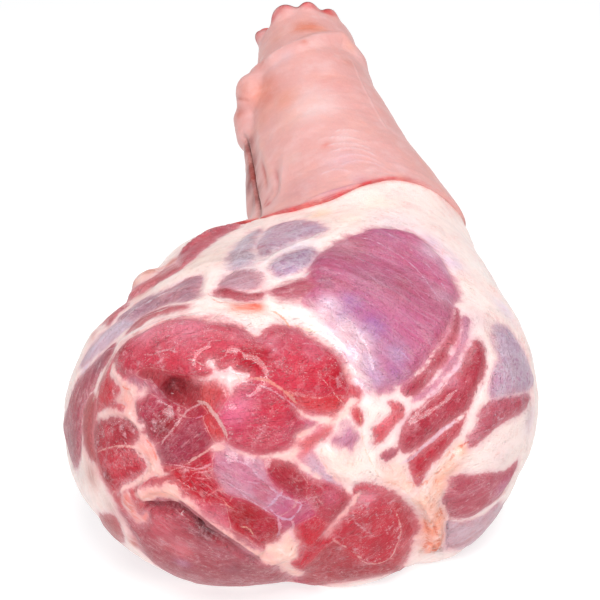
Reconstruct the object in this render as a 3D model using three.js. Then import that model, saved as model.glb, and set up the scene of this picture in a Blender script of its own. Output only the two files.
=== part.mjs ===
// A raw pork leg, lying down: the trimmed ham with its cut face to the front, and the rind left on the shank.
// It is one piece of meat, so it is one closed body. Its form is the smooth union of its muscles, each an
// ellipsoid in its place, with the shank as a tapering limb and a few folds and hollows. Rays from a spine
// inside the leg find the surface ring by ring, from the middle of the cut face to the severed hock.
// Millimetres. X is to the right of the cut face, Y runs from the cut face to the hock, Z is up.
// The origin is under the middle of the leg, on the ground it rests on.
import * as THREE from "three";

// The box that the whole leg fills.
const WIDTH = 272;
const LENGTH = 440;
const HEIGHT = 225;

// The rind stands this far above the trimmed meat, from this share of the spine on. Its edge wanders by this
// share more or less, and lies further back on the right.
const RIND_THICKNESS = 3;
const RIND_EDGE = 0.45;
const RIND_EDGE_SLOPE = 0.004;
const RIND_EDGE_WANDER = 0.052;

// The surface mesh: points round each ring, and rings along each stretch.
const AROUND = 60;
const FACE_RINGS = 26;
const HAM_RINGS = 18;
const SHANK_RINGS = 20;
const HOCK_RINGS = 14;

const deg = THREE.MathUtils.degToRad;

// Muscles and masses of fat. Each is an ellipsoid: its centre and half sizes, its yaw about Z and pitch about
// X in degrees, and the width over which it runs into those before it.
const MUSCLES = [
  { name: "core of the ham", at: [0, 14, 86], half: [118, 94, 93] },
  { name: "rump, resting on the ground", at: [12, 58, 56], half: [92, 68, 66], blend: 24 },
  { name: "butt end, behind the cut face", at: [-34, -38, 78], half: [84, 62, 72], blend: 16 },
  { name: "top muscle of the cut face", at: [-40, -34, 120], half: [66, 50, 50], pitch: -12, blend: 12 },
  { name: "inside round, under silverskin", at: [44, 30, 106], half: [64, 76, 60], yaw: -20, blend: 14 },
  { name: "top of the left shoulder", at: [-38, 70, 106], half: [53, 61, 54], yaw: 30, blend: 22 },
  { name: "left flank", at: [-87, 2, 73], half: [48, 66, 68], yaw: 10, blend: 14 },
  { name: "right flank", at: [94, 4, 84], half: [41, 60, 66], yaw: -12, blend: 28 },
  { name: "tip of the right flank", at: [70, -8, 40], half: [43, 42, 48], blend: 16 },
  { name: "knuckle, low on the right", at: [22, -30, 41], half: [56, 44, 48], blend: 12 },
  { name: "shin muscle, low on the left", at: [-44, -19, 40], half: [63, 48, 47], yaw: 12, blend: 12 },
  { name: "fat on the left shoulder", at: [-87, 45, 136], half: [11, 18, 12], blend: 8 },
];

// The shank: stations along its axis, each with its centre and half sizes across and up.
const SHANK = [
  { at: [40, 70, 104], half: [78, 76] },
  { at: [38, 120, 130], half: [66, 57] },
  { at: [23, 180, 154], half: [51, 44] },
  { at: [10, 240, 174], half: [41, 39] },
  { at: [4, 330, 194], half: [33, 33] },
];
const SHANK_BLEND = 26;

// The saw cut through the hock: a point of its plane, and the way the cut end looks.
const HOCK_CUT = new THREE.Vector3(2, 322, 194);
const HOCK_WAY = new THREE.Vector3(-0.06, 0.95, 0.3).normalize();
const HOCK_RIM_BLEND = 10;

// Folds of skin and fat: round cords laid along a path on the surface.
const FOLDS = [
  {
    name: "slit skin down the left of the shank",
    path: [[-25, 222, 166], [-22, 190, 156], [-20, 150, 142]],
    radius: 11,
    blend: 5,
  },
  { name: "knob of skin beside the hock", path: [[-30, 246, 187], [-29, 236, 183]], radius: 11, blend: 5 },
  { name: "skin under the knob", path: [[-32, 234, 171], [-30, 218, 165]], radius: 10, blend: 4 },
  {
    name: "cuff of skin round the hock",
    path: [[-25, 258, 192], [-14, 252, 204], [0, 253, 210], [15, 264, 213], [26, 272, 212], [35, 264, 200]],
    radius: 8,
    blend: 6,
  },
  {
    name: "fat lip low on the left",
    path: [[-86, -80, 86], [-64, -89, 97], [-50, -94, 88], [-16, -91, 54]],
    radius: 8,
    blend: 6,
  },
];

// Hollows: ellipsoids taken out of the surface, each with the width over which its edge is rounded.
const HOLLOWS = [
  { name: "pocket between the top muscles", at: [-60, -86, 142], half: [18, 16, 14], blend: 8 },
  { name: "sunk end of the hock", at: [2, 330, 197], half: [22, 14, 22], pitch: 18, blend: 6 },
];

// What stands out of the severed end: lumps of flesh and sinew round the rim, each with its angle on the cut,
// its distance from the middle and its radius, and the two ends of bone inside them.
const HOCK_LUMPS = [
  { around: 18, out: 26, radius: 6 },
  { around: 52, out: 27, radius: 8 },
  { around: 84, out: 28, radius: 7 },
  { around: 118, out: 26, radius: 10 },
  { around: 165, out: 28, radius: 7 },
  { around: 205, out: 25, radius: 9 },
  { around: 262, out: 27, radius: 8 },
  { around: 318, out: 26, radius: 9 },
];
const HOCK_BONES = [
  { name: "shin bone", at: [6, 317, 192], half: [14, 10, 11], blend: 4 },
  { name: "small bone beside it", at: [-10, 317, 199], half: [7, 9, 6], blend: 4 },
];
const LUMP_BLEND = 5;

// Signed distance near the surface of one ellipsoid.
function ellipsoidDistance(body, x, y, z) {
  const m = body.toLocal;
  const [dx, dy, dz] = [x - body.at[0], y - body.at[1], z - body.at[2]];
  const lx = m[0] * dx + m[4] * dy + m[8] * dz;
  const ly = m[1] * dx + m[5] * dy + m[9] * dz;
  const lz = m[2] * dx + m[6] * dy + m[10] * dz;
  const [a, b, c] = body.half;
  const near = Math.hypot(lx / a, ly / b, lz / c);
  const slope = Math.hypot(lx / (a * a), ly / (b * b), lz / (c * c));
  return slope === 0 ? -Math.min(a, b, c) : (near * (near - 1)) / slope;
}

// Adds the turn from the leg's axes to those of the ellipsoid.
function prepareEllipsoid(body) {
  const turn = new THREE.Euler(deg(body.pitch ?? 0), 0, deg(body.yaw ?? 0), "ZYX");
  return { ...body, toLocal: new THREE.Matrix4().makeRotationFromEuler(turn).transpose().elements };
}

// Distance from the surface of a round cord laid along straight pieces between the points of its path.
function cordDistance(cord, x, y, z) {
  let nearest = Infinity;
  for (let i = 0; i + 1 < cord.path.length; i += 1) {
    const [p, q] = [cord.path[i], cord.path[i + 1]];
    const [ux, uy, uz] = [q[0] - p[0], q[1] - p[1], q[2] - p[2]];
    const [vx, vy, vz] = [x - p[0], y - p[1], z - p[2]];
    const share = (ux * vx + uy * vy + uz * vz) / (ux * ux + uy * uy + uz * uz);
    const t = THREE.MathUtils.clamp(share, 0, 1);
    nearest = Math.min(nearest, Math.hypot(vx - ux * t, vy - uy * t, vz - uz * t));
  }
  return nearest - cord.radius;
}

// Distance from the shank: an elliptical limb whose centre and half sizes follow its stations in Y.
function shankDistance(x, y, z) {
  const clamped = THREE.MathUtils.clamp(y, SHANK[0].at[1], SHANK.at(-1).at[1]);
  let i = 0;
  while (i < SHANK.length - 2 && clamped > SHANK[i + 1].at[1]) i += 1;
  const [from, to] = [SHANK[i], SHANK[i + 1]];
  const share = (clamped - from.at[1]) / (to.at[1] - from.at[1]);
  const mix = (a, b) => a + (b - a) * share;
  const halfAcross = mix(from.half[0], to.half[0]);
  const halfUp = mix(from.half[1], to.half[1]);
  const mean = (halfAcross + halfUp) / 2;
  const dx = (x - mix(from.at[0], to.at[0])) / halfAcross;
  const dz = (z - mix(from.at[2], to.at[2])) / halfUp;
  return (Math.hypot(dx, (y - clamped) / mean, dz) - 1) * mean;
}

// Smooth union of two distances, which run together over the width blend, and smooth intersection.
function join(a, b, blend) {
  const h = Math.max(blend - Math.abs(a - b), 0);
  return Math.min(a, b) - (h * h) / (4 * blend);
}
function meet(a, b, blend) {
  return -join(-a, -b, blend);
}

// The lumps of the severed end, set out on the plane of the saw cut.
function hockLumps() {
  const right = new THREE.Vector3(HOCK_WAY.y, -HOCK_WAY.x, 0).normalize();
  const up = new THREE.Vector3().crossVectors(right, HOCK_WAY);
  return HOCK_LUMPS.map(({ around, out, radius }) => {
    const at = HOCK_CUT.clone().addScaledVector(right, out * Math.cos(deg(around)));
    at.addScaledVector(up, out * Math.sin(deg(around)));
    return { at: at.toArray(), half: [radius, radius, radius], blend: LUMP_BLEND };
  });
}

const muscles = MUSCLES.map(prepareEllipsoid);
const hollows = HOLLOWS.map(prepareEllipsoid);
const lumps = [...hockLumps(), ...HOCK_BONES].map(prepareEllipsoid);

// Distance from the surface of the whole leg, which is cut flat where it rests on the ground.
function legDistance(x, y, z) {
  const reach = HOCK_WAY.x * (x - HOCK_CUT.x) + HOCK_WAY.y * (y - HOCK_CUT.y) + HOCK_WAY.z * (z - HOCK_CUT.z);
  const [core, ...others] = muscles;
  let d = ellipsoidDistance(core, x, y, z);
  for (const muscle of others) d = join(d, ellipsoidDistance(muscle, x, y, z), muscle.blend);
  d = join(d, meet(shankDistance(x, y, z), reach, HOCK_RIM_BLEND), SHANK_BLEND);
  for (const fold of FOLDS) d = join(d, cordDistance(fold, x, y, z), fold.blend);
  for (const hollow of hollows) d = meet(d, -ellipsoidDistance(hollow, x, y, z), hollow.blend);
  for (const lump of lumps) d = join(d, ellipsoidDistance(lump, x, y, z), lump.blend);
  return Math.max(d, -z);
}

// How far along a ray from inside the leg its skin lies: steps inwards to the outermost crossing, then halves.
const LONGEST_RAY = 220;
const RAY_STEP = 3;
const HALVINGS = 16;
function radiusAlong(origin, way) {
  const at = (t) => legDistance(origin.x + way.x * t, origin.y + way.y * t, origin.z + way.z * t);
  let inside = LONGEST_RAY;
  while (inside > 0 && at(inside) > 0) inside -= RAY_STEP;
  let outside = inside + RAY_STEP;
  for (let i = 0; i < HALVINGS; i += 1) {
    const middle = (inside + outside) / 2;
    if (at(middle) > 0) outside = middle;
    else inside = middle;
  }
  return (inside + outside) / 2;
}

// The spine, from behind the cut face to behind the severed end.
const SPINE = new THREE.CatmullRomCurve3([
  new THREE.Vector3(-22, -14, 94),
  new THREE.Vector3(-16, 16, 90),
  new THREE.Vector3(4, 70, 104),
  new THREE.Vector3(18, 140, 138),
  new THREE.Vector3(15, 210, 166),
  new THREE.Vector3(6, 290, 186),
]);

// One row of the mesh: where it is on the spine, how its rays lean back or forward, and how thick its rind is.
function meshRows() {
  const rows = [];
  for (let i = 1; i <= FACE_RINGS; i += 1) rows.push({ share: 0, lean: -90 + (90 * i) / FACE_RINGS, rind: 0 });
  const hamEnd = RIND_EDGE - RIND_EDGE_SLOPE;
  for (let i = 1; i <= HAM_RINGS; i += 1) rows.push({ share: (hamEnd * i) / HAM_RINGS, lean: 0, rind: 0 });
  for (let i = 0; i <= SHANK_RINGS; i += 1) {
    rows.push({ share: RIND_EDGE + ((1 - RIND_EDGE) * i) / SHANK_RINGS, lean: 0, rind: RIND_THICKNESS });
  }
  for (let i = 1; i < HOCK_RINGS; i += 1) {
    const lean = (90 * i) / HOCK_RINGS;
    rows.push({ share: 1, lean, rind: RIND_THICKNESS * Math.max(0, 1 - lean / 45) });
  }
  return rows;
}

// The rows near the edge of the rind follow it, and those further off less and less.
function wander(share, around) {
  const nearness = share < RIND_EDGE ? share / RIND_EDGE : (1 - share) / (1 - RIND_EDGE);
  return share + RIND_EDGE_WANDER * nearness * Math.tanh(3 * Math.cos(around + deg(20)));
}

function legGeometry() {
  const positions = [];
  const put = (row, around) => {
    const share = wander(row.share, around);
    const lean = deg(row.lean);
    const origin = SPINE.getPointAt(share);
    const axis = SPINE.getTangentAt(share);
    const right = new THREE.Vector3(axis.y, -axis.x, 0).normalize();
    const up = new THREE.Vector3().crossVectors(right, axis);
    const way = right.multiplyScalar(Math.cos(around) * Math.cos(lean));
    way.addScaledVector(up, Math.sin(around) * Math.cos(lean)).addScaledVector(axis, Math.sin(lean));
    const point = origin.clone().addScaledVector(way, radiusAlong(origin, way) + row.rind);
    positions.push(point.x, point.y, Math.max(0, point.z));
  };
  const rows = meshRows();
  put({ share: 0, lean: -90, rind: 0 }, 0);
  for (const row of rows) {
    for (let j = 0; j < AROUND; j += 1) put(row, (2 * Math.PI * j) / AROUND);
  }
  put({ share: 1, lean: 90, rind: 0 }, 0);

  const index = [];
  const last = positions.length / 3 - 1;
  const at = (i, j) => 1 + i * AROUND + (j % AROUND);
  for (let j = 0; j < AROUND; j += 1) {
    index.push(0, at(0, j), at(0, j + 1));
    for (let i = 0; i + 1 < rows.length; i += 1) {
      index.push(at(i, j), at(i + 1, j), at(i + 1, j + 1), at(i, j), at(i + 1, j + 1), at(i, j + 1));
    }
    index.push(last, at(rows.length - 1, j + 1), at(rows.length - 1, j));
  }
  const geometry = new THREE.BufferGeometry();
  geometry.setAttribute("position", new THREE.Float32BufferAttribute(positions, 3));
  geometry.setIndex(index);
  return geometry;
}

// Sets the leg to its box exactly, and puts the origin under the middle of it.
function fillBox(geometry) {
  geometry.computeBoundingBox();
  const size = geometry.boundingBox.getSize(new THREE.Vector3());
  const middle = geometry.boundingBox.getCenter(new THREE.Vector3());
  geometry.translate(-middle.x, -middle.y, -geometry.boundingBox.min.z);
  geometry.scale(WIDTH / size.x, LENGTH / size.y, HEIGHT / size.z);
}

const meatGeometry = legGeometry();
fillBox(meatGeometry);
meatGeometry.computeVertexNormals();
const meat = new THREE.Mesh(
  meatGeometry,
  new THREE.MeshStandardMaterial({ color: 0xcd6f76, roughness: 0.45, metalness: 0 }),
);
meat.name = "pork_leg";

const leg = new THREE.Group();
leg.add(meat);

export default leg;
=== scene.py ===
import bpy
import numpy as np
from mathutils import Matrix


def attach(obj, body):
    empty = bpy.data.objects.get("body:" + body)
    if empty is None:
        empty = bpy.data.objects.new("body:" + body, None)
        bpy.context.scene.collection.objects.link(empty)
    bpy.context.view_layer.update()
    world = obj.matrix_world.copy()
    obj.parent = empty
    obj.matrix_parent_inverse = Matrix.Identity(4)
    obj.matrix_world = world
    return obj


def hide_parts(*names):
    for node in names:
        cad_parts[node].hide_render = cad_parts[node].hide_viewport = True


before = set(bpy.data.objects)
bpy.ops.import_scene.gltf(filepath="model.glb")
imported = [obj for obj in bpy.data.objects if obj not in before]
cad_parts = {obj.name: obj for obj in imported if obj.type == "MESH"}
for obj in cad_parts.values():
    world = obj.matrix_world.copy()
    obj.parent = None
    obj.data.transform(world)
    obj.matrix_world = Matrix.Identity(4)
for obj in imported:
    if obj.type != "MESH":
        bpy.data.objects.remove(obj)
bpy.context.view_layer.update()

# ---------------------------------------------------------------------------------------------------------
# The camera looks down on the cut face from the front with a long lens. The floor is a white table top in
# a white tent. The main soft box hangs in front, a weaker one above, and a weak fill stands on the left.
# ---------------------------------------------------------------------------------------------------------
FRAME_PIXELS = 600
EYE = np.array([0.4, -884.2, 564.0])
LOOK_DOWN = np.radians(28.0)
LENS_MM = 94.5
SENSOR_MM = 36.0

camera = bpy.data.objects.new("camera", bpy.data.cameras.new("camera"))
camera.data.lens = LENS_MM
camera.data.sensor_width = SENSOR_MM
camera.location = EYE / 1000
camera.rotation_euler = (np.pi / 2 - LOOK_DOWN, 0, 0)
bpy.context.collection.objects.link(camera)
bpy.context.scene.camera = camera
bpy.context.scene.view_settings.view_transform = "Standard"


def lamp(name, place, turn, size, watts):
    """A square soft box: where it hangs, how it is turned, its side in metres and its power."""
    light = bpy.data.lights.new(name, "AREA")
    light.shape, light.size, light.energy = "SQUARE", size, watts
    holder = bpy.data.objects.new(name, light)
    holder.location = place
    holder.rotation_euler = np.radians(turn)
    bpy.context.collection.objects.link(holder)


lamp("key_in_front", (0.12, -1.0, 1.3), (42, 0, 7), 0.6, 18.5)
lamp("soft_box_above", (0.1, 0.15, 1.5), (0, 0, 0), 0.8, 6)
lamp("fill_left", (-1.2, -0.8, 0.7), (62, 0, -56), 0.8, 2)

tent = bpy.data.worlds.new("tent")
tent.use_nodes = True
tent.node_tree.nodes["Background"].inputs["Color"].default_value = (1, 1, 1, 1)
tent.node_tree.nodes["Background"].inputs["Strength"].default_value = 0.34
bpy.context.scene.world = tent


class Socket:
    """A node's output that takes part in sums. Each operator adds a Math node and gives its output."""

    def __init__(self, paint, socket):
        self.paint, self.socket = paint, socket

    def maths(self, operation, *values):
        """One Math node on the values."""
        return self.paint.node("ShaderNodeMath", {"operation": operation}, dict(enumerate(values)))

    def __add__(self, other):
        return self.maths("ADD", self, other)

    def __sub__(self, other):
        return self.maths("SUBTRACT", self, other)

    def __mul__(self, other):
        return self.maths("MULTIPLY", self, other)

    def __truediv__(self, other):
        return self.maths("DIVIDE", self, other)

    def __rsub__(self, other):
        return self.maths("SUBTRACT", other, self)

    __radd__, __rmul__ = __add__, __mul__

    def __abs__(self):
        return self.maths("ABSOLUTE", self)

    def rise(self, low, high):
        """0 below low and 1 above high, with a smooth rise between them."""
        settings = {"interpolation_type": "SMOOTHSTEP"}
        sockets = {"Value": self, "From Min": low, "From Max": high}
        return self.paint.node("ShaderNodeMapRange", settings, sockets)


class Paint:
    """A material that is put together node by node."""

    def __init__(self, name):
        self.material = bpy.data.materials.new(name)
        self.material.use_nodes = True
        self.tree = self.material.node_tree
        self.tree.nodes.clear()

    def node(self, kind, settings, sockets, out=0):
        """Adds a node: its type, its settings, and the values or links of its sockets by name or number."""
        node = self.tree.nodes.new(kind)
        for key, value in settings.items():
            setattr(node, key, value)
        for key, value in sockets.items():
            if isinstance(value, Socket):
                self.tree.links.new(value.socket, node.inputs[key])
            else:
                node.inputs[key].default_value = value
        return Socket(self, node.outputs[out]) if node.outputs else None

    def attribute(self, name, out="Fac"):
        """A value or colour that the mesh carries at its points."""
        return self.node("ShaderNodeAttribute", {"attribute_name": name}, {}, out)

    def noise(self, where, scale, detail=2.0, rough=0.5, warp=0.0):
        """Noise about 0.5, with scale patches to the metre."""
        sockets = {"Vector": where, "Scale": scale, "Detail": detail, "Roughness": rough, "Distortion": warp}
        return self.node("ShaderNodeTexNoise", {}, sockets)

    def mix(self, share, first, second, how="MIX"):
        """Colours mixed by share: 0 is the first, 1 the second."""
        settings = {"data_type": "RGBA", "blend_type": how, "clamp_factor": True}
        return self.node("ShaderNodeMix", settings, {"Factor": share, 6: first, 7: second}, 2)

    def finish(self, sockets, bumps=()):
        """The one shader of the material. Bumps are (height, strength, distance in metres), coarse first."""
        normal = None
        for height, strength, distance in bumps:
            links = {"Height": height, "Strength": strength, "Distance": distance}
            if normal is not None:
                links["Normal"] = normal
            normal = self.node("ShaderNodeBump", {}, links)
        if normal is not None:
            sockets["Normal"] = normal
        surface = self.node("ShaderNodeBsdfPrincipled", {}, sockets)
        self.node("ShaderNodeOutputMaterial", {"target": "ALL"}, {"Surface": surface})
        return self.material


bpy.ops.mesh.primitive_plane_add(size=60)
floor = bpy.context.object
floor.name = "table_top"
white_table = Paint("white_table").finish({
    "Base Color": (0.43, 0.44, 0.44, 1), "Roughness": 0.6,
    "Emission Color": (1, 1, 1, 1), "Emission Strength": 0.7,
})
floor.data.materials.append(white_table)


# ---------------------------------------------------------------------------------------------------------
# The ham: raw muscles that bulge out of a collar of fat, cut across at the front where the leg came off the
# loin. Muscle, fat and silverskin are one wet surface, so they are one closed mesh whose relief and colour
# follow the outline of each muscle.
# ---------------------------------------------------------------------------------------------------------
MM = 0.001
HAM_PLACE = np.array([0.4, -117.9, 0.0])
EYE_MM = EYE - HAM_PLACE

MUSCLE_MASSES = [
    # middle, half sizes, yaw, pitch, blend
    ((0, 14, 86), (118, 94, 93), 0, 0, 1),
    ((12, 58, 56), (92, 68, 66), 0, 0, 24),
    ((-34, -38, 78), (84, 62, 72), 0, 0, 16),
    ((-40, -34, 120), (66, 50, 50), 0, -12, 12),
    ((44, 30, 106), (64, 76, 60), -20, 0, 14),
    ((-38, 70, 106), (53, 61, 54), 30, 0, 22),
    ((-87, 2, 73), (48, 66, 68), 10, 0, 14),
    ((94, 4, 84), (41, 60, 66), -12, 0, 28),
    ((70, -8, 40), (43, 42, 48), 0, 0, 16),
    ((22, -30, 41), (56, 44, 48), 0, 0, 12),
    ((-44, -19, 40), (63, 48, 47), 12, 0, 12),
    ((-87, 45, 136), (11, 18, 12), 0, 0, 8),
]
SHANK_STATIONS = np.array([
    # x, y, z of the middle, half width, half height
    (40, 70, 104, 78, 76),
    (38, 120, 130, 66, 57),
    (23, 180, 154, 51, 44),
    (10, 240, 174, 41, 39),
    (4, 330, 194, 33, 33),
], float)
HOCK_CUT = np.array([2.0, 322.0, 194.0])
HOCK_WAY = np.array([-0.06, 0.95, 0.3]) / np.linalg.norm([-0.06, 0.95, 0.3])
SKIN_FOLDS = [
    # path, radius, blend
    ([(-25, 222, 166), (-22, 190, 156), (-20, 150, 142)], 11, 5),
    ([(-30, 246, 187), (-29, 236, 183)], 11, 5),
    ([(-32, 234, 171), (-30, 218, 165)], 10, 4),
    ([(-25, 258, 192), (-14, 252, 204), (0, 253, 210), (15, 264, 213), (26, 272, 212), (35, 264, 200)], 8, 6),
    ([(-86, -80, 86), (-64, -89, 97), (-50, -94, 88), (-16, -91, 54)], 8, 6),
]
POCKET = ((-60, -86, 142), (18, 16, 14), 8)
SUNK_END = ((2, 330, 197), (22, 14, 22), 0, 18)
RIM_LUMPS = [
    # degrees round the cut, how far out, radius
    (18, 26, 6), (52, 27, 8), (84, 28, 7), (118, 26, 10),
    (165, 28, 7), (205, 25, 9), (262, 27, 8), (318, 26, 9),
]
BONE_ENDS = [((6, 317, 192), (14, 10, 11), 4), ((-10, 317, 199), (7, 9, 6), 4)]
SPINE = np.array([
    (-22, -14, 94), (-16, 16, 90), (4, 70, 104), (18, 140, 138), (15, 210, 166), (6, 290, 186),
], float)


def join(a, b, blend):
    """Smooth minimum: the lesser of a and b, lowered by h squared over 4 blend, where h is how far they are
    from being blend apart."""
    h = np.maximum(blend - np.abs(a - b), 0)
    return np.minimum(a, b) - h * h / (4 * blend)


def ellipsoid_distance(p, middle, half, yaw=0.0, pitch=0.0):
    """Distance from an ellipsoid's surface: k(k-1)/s, where k is the point's length in half sizes and s the
    length of its slope."""
    cy, sy = np.cos(np.radians(yaw)), np.sin(np.radians(yaw))
    cp, sp = np.cos(np.radians(pitch)), np.sin(np.radians(pitch))
    turn = np.array([(cy, -sy, 0), (sy, cy, 0), (0, 0, 1)]) @ np.array([(1, 0, 0), (0, cp, -sp), (0, sp, cp)])
    q = (p - np.array(middle, float)) @ turn / np.array(half, float)
    k = np.linalg.norm(q, axis=-1)
    slope = np.linalg.norm(q / np.array(half, float), axis=-1)
    return k * (k - 1) / np.maximum(slope, 1e-9)


def path_distance(p, path):
    """Distance from a line of straight pieces, and how far along it the nearest place is."""
    best = np.full(p.shape[:-1], 1e9)
    along = np.zeros(p.shape[:-1])
    walked = 0.0
    for a, b in zip(path[:-1], path[1:]):
        u = b - a
        length = np.linalg.norm(u) + 1e-9
        t = np.clip((p - a) @ u / length**2, 0, 1)
        d = np.linalg.norm(p - a - t[..., None] * u, axis=-1)
        along = np.where(d < best, walked + t * length, along)
        best = np.minimum(best, d)
        walked += length
    return best, along


def shank_distance(p):
    """Distance from the tapering elliptical limb whose stations are given along Y."""
    y = np.clip(p[..., 1], SHANK_STATIONS[0, 1], SHANK_STATIONS[-1, 1])
    x0, z0, a, b = (np.interp(y, SHANK_STATIONS[:, 1], SHANK_STATIONS[:, i]) for i in (0, 2, 3, 4))
    mean = (a + b) / 2
    across, up, past = (p[..., 0] - x0) / a, (p[..., 2] - z0) / b, (p[..., 1] - y) / mean
    return (np.sqrt(across**2 + up**2 + past**2) - 1) * mean


def leg_distance(p):
    """Distance from the leg's surface: the smooth union of its masses, shank and folds, less the pocket."""
    d = ellipsoid_distance(p, *MUSCLE_MASSES[0][:4])
    for middle, half, yaw, pitch, blend in MUSCLE_MASSES[1:]:
        d = join(d, ellipsoid_distance(p, middle, half, yaw, pitch), blend)
    severed = (p - HOCK_CUT) @ HOCK_WAY
    d = join(d, -join(-shank_distance(p), -severed, 10), 26)
    for path, radius, blend in SKIN_FOLDS:
        d = join(d, path_distance(p, np.array(path, float))[0] - radius, blend)
    d = -join(-d, ellipsoid_distance(p, *POCKET[:2]), POCKET[2])
    d = -join(-d, ellipsoid_distance(p, *SUNK_END), 6)
    end_right = np.array([HOCK_WAY[1], -HOCK_WAY[0], 0]) / np.hypot(*HOCK_WAY[:2])
    end_up = np.cross(end_right, HOCK_WAY)
    for degrees, out, radius in RIM_LUMPS:
        a = np.radians(degrees)
        middle = HOCK_CUT + out * (end_right * np.cos(a) + end_up * np.sin(a))
        d = join(d, np.linalg.norm(p - middle, axis=-1) - radius, 5)
    for middle, half, blend in BONE_ENDS:
        d = join(d, ellipsoid_distance(p, middle, half), blend)
    return np.maximum(d, -p[..., 2])


def march(origin, way, start, reach):
    """Walks rays by eight tenths of the distance that is left, and gives how far each has come."""
    t = np.full(origin.shape[:-1], float(start))
    live = np.ones(t.shape, bool)
    for _ in range(60):
        d = leg_distance(origin[live] + way[live] * t[live][:, None])
        t[live] += 0.8 * reach * d
        still = np.abs(d) > 0.01
        live[np.nonzero(live)[0][~still]] = False
        if not live.any():
            break
    return t


def slope(p, step=0.5):
    """The surface's outward normal: the way that the distance grows."""
    axes = np.eye(3) * step
    g = np.stack([leg_distance(p + a) - leg_distance(p - a) for a in axes], -1)
    return g / (np.linalg.norm(g, axis=-1, keepdims=True) + 1e-12)


def rounded(points, closed, steps=5):
    """A Catmull-Rom curve through points, in steps pieces between one and the next: a cubic of four points in
    a row, where the ends of an open line are carried on straight."""
    points = np.asarray(points, float)
    if closed:
        padded = np.vstack([points[-1], points, points[:2]])
    else:
        padded = np.vstack([2 * points[0] - points[1], points, 2 * points[-1] - points[-2]])
    count = len(padded) - 3
    a, b, c, d = (padded[k:k + count] for k in range(4))
    t = (np.arange(steps) / steps)[:, None, None]
    line = 0.5 * (2 * b + (c - a) * t + (2 * a - 5 * b + 4 * c - d) * t**2 + (3 * b - a - 3 * c + d) * t**3)
    line = line.transpose(1, 0, 2).reshape(-1, points.shape[1])
    return line if closed else np.vstack([line, points[-1]])


def spine_at(share):
    """Point and direction at a share of the length of the rounded spine."""
    line = rounded(SPINE, False, 400)
    walked = np.concatenate([[0], np.cumsum(np.linalg.norm(np.diff(line, axis=0), axis=1))])
    walked /= walked[-1]
    read = lambda s: np.stack([np.interp(s, walked, line[:, k]) for k in range(3)], -1)
    way = read(np.clip(share + 1e-3, 0, 1)) - read(np.clip(share - 1e-3, 0, 1))
    return read(share), way / np.linalg.norm(way, axis=-1, keepdims=True)


RIND_EDGE = 0.45


def wander(share, around):
    """The rows near the edge of the rind follow it: it lies further back on the right."""
    near = np.where(share < RIND_EDGE, share / RIND_EDGE, (1 - share) / (1 - RIND_EDGE))
    return share + 0.052 * near * np.tanh(3 * np.cos(around + np.radians(20)))


def skin_rows(share, lean, columns, thick=0.0):
    """Points of the leg's surface, one row for each share of the spine and lean of its rays, each row closed
    round the leg. The columns are closer together on top than beneath."""
    j = np.arange(columns) / columns * 2 * np.pi
    around = j + 0.25 * np.cos(j)
    share, lean, around = np.broadcast_arrays(share[:, None], np.radians(lean)[:, None], around[None, :])
    origin, axis = spine_at(wander(share, around))
    right = np.stack([axis[..., 1], -axis[..., 0], np.zeros_like(share)], -1)
    right /= np.linalg.norm(right, axis=-1, keepdims=True)
    up = np.cross(right, axis)
    c, s = np.cos(around)[..., None], np.sin(around)[..., None]
    way = (right * c + up * s) * np.cos(lean)[..., None] + axis * np.sin(lean)[..., None]
    origin, way = origin.reshape(-1, 3), way.reshape(-1, 3)
    t = march(origin, way, 175.0, -1)
    surface = (origin + way * t[:, None]).reshape(*share.shape, 3)
    return surface + way.reshape(surface.shape) * np.broadcast_to(thick, share.shape)[..., None]


def cast(places, thick=0.0):
    """Where the camera sees the leg at places of the picture, in pixels of its 600 pixel frame. A leg that is
    thick mm stouter all round is met where its rind would lie. Rays start 600 mm from the eye and step on by
    seven tenths of the distance that is left, and one that misses ends where it came nearest."""
    places = np.atleast_2d(places)
    ahead = np.array([0, np.cos(LOOK_DOWN), -np.sin(LOOK_DOWN)])
    above = np.array([0, np.sin(LOOK_DOWN), np.cos(LOOK_DOWN)])
    per_mm = LENS_MM / SENSOR_MM * FRAME_PIXELS
    x, y = (places - FRAME_PIXELS / 2).T[..., None] / per_mm
    way = ahead + x * np.array([1, 0, 0]) - y * above
    way /= np.linalg.norm(way, axis=-1, keepdims=True)
    origin = np.broadcast_to(EYE_MM, way.shape)
    best_t = np.full(len(way), 600.0)
    t = best_t.copy()
    best_d = np.full(len(way), 1e9)
    for _ in range(160):
        d = leg_distance(origin + way * t[:, None]) - thick
        better = d < best_d - 1e-3
        best_t, best_d = np.where(better, t, best_t), np.where(better, d, best_d)
        t = t + np.clip(0.7 * d, 0.0, 40)
    return origin + way * best_t[:, None]


def lay(lines, thick=0.0):
    """Casts a list of lines of picture places onto the leg, all at once."""
    ends = np.cumsum([len(line) for line in lines])[:-1]
    return np.split(cast(np.vstack(lines), thick), ends)


def near_line(p, facing, line, margin):
    """Which points face the camera and lie no further from a line's middle than its ends, by a margin."""
    middle = line.mean(0)
    reach = np.linalg.norm(line - middle, axis=1).max() + margin
    return np.nonzero((np.linalg.norm(p - middle, axis=1) < reach) & (facing > 0))[0]


def pixels(text):
    """Picture places written as "x y, x y"."""
    return np.array([pair.split() for pair in text.split(",")], float)


def linear(colour):
    """Linear light from a colour on a screen's 0 to 255 scale."""
    c = np.asarray(colour, float) / 255
    return np.where(c <= 0.04045, c / 12.92, ((c + 0.055) / 1.055) ** 2.4)


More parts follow.
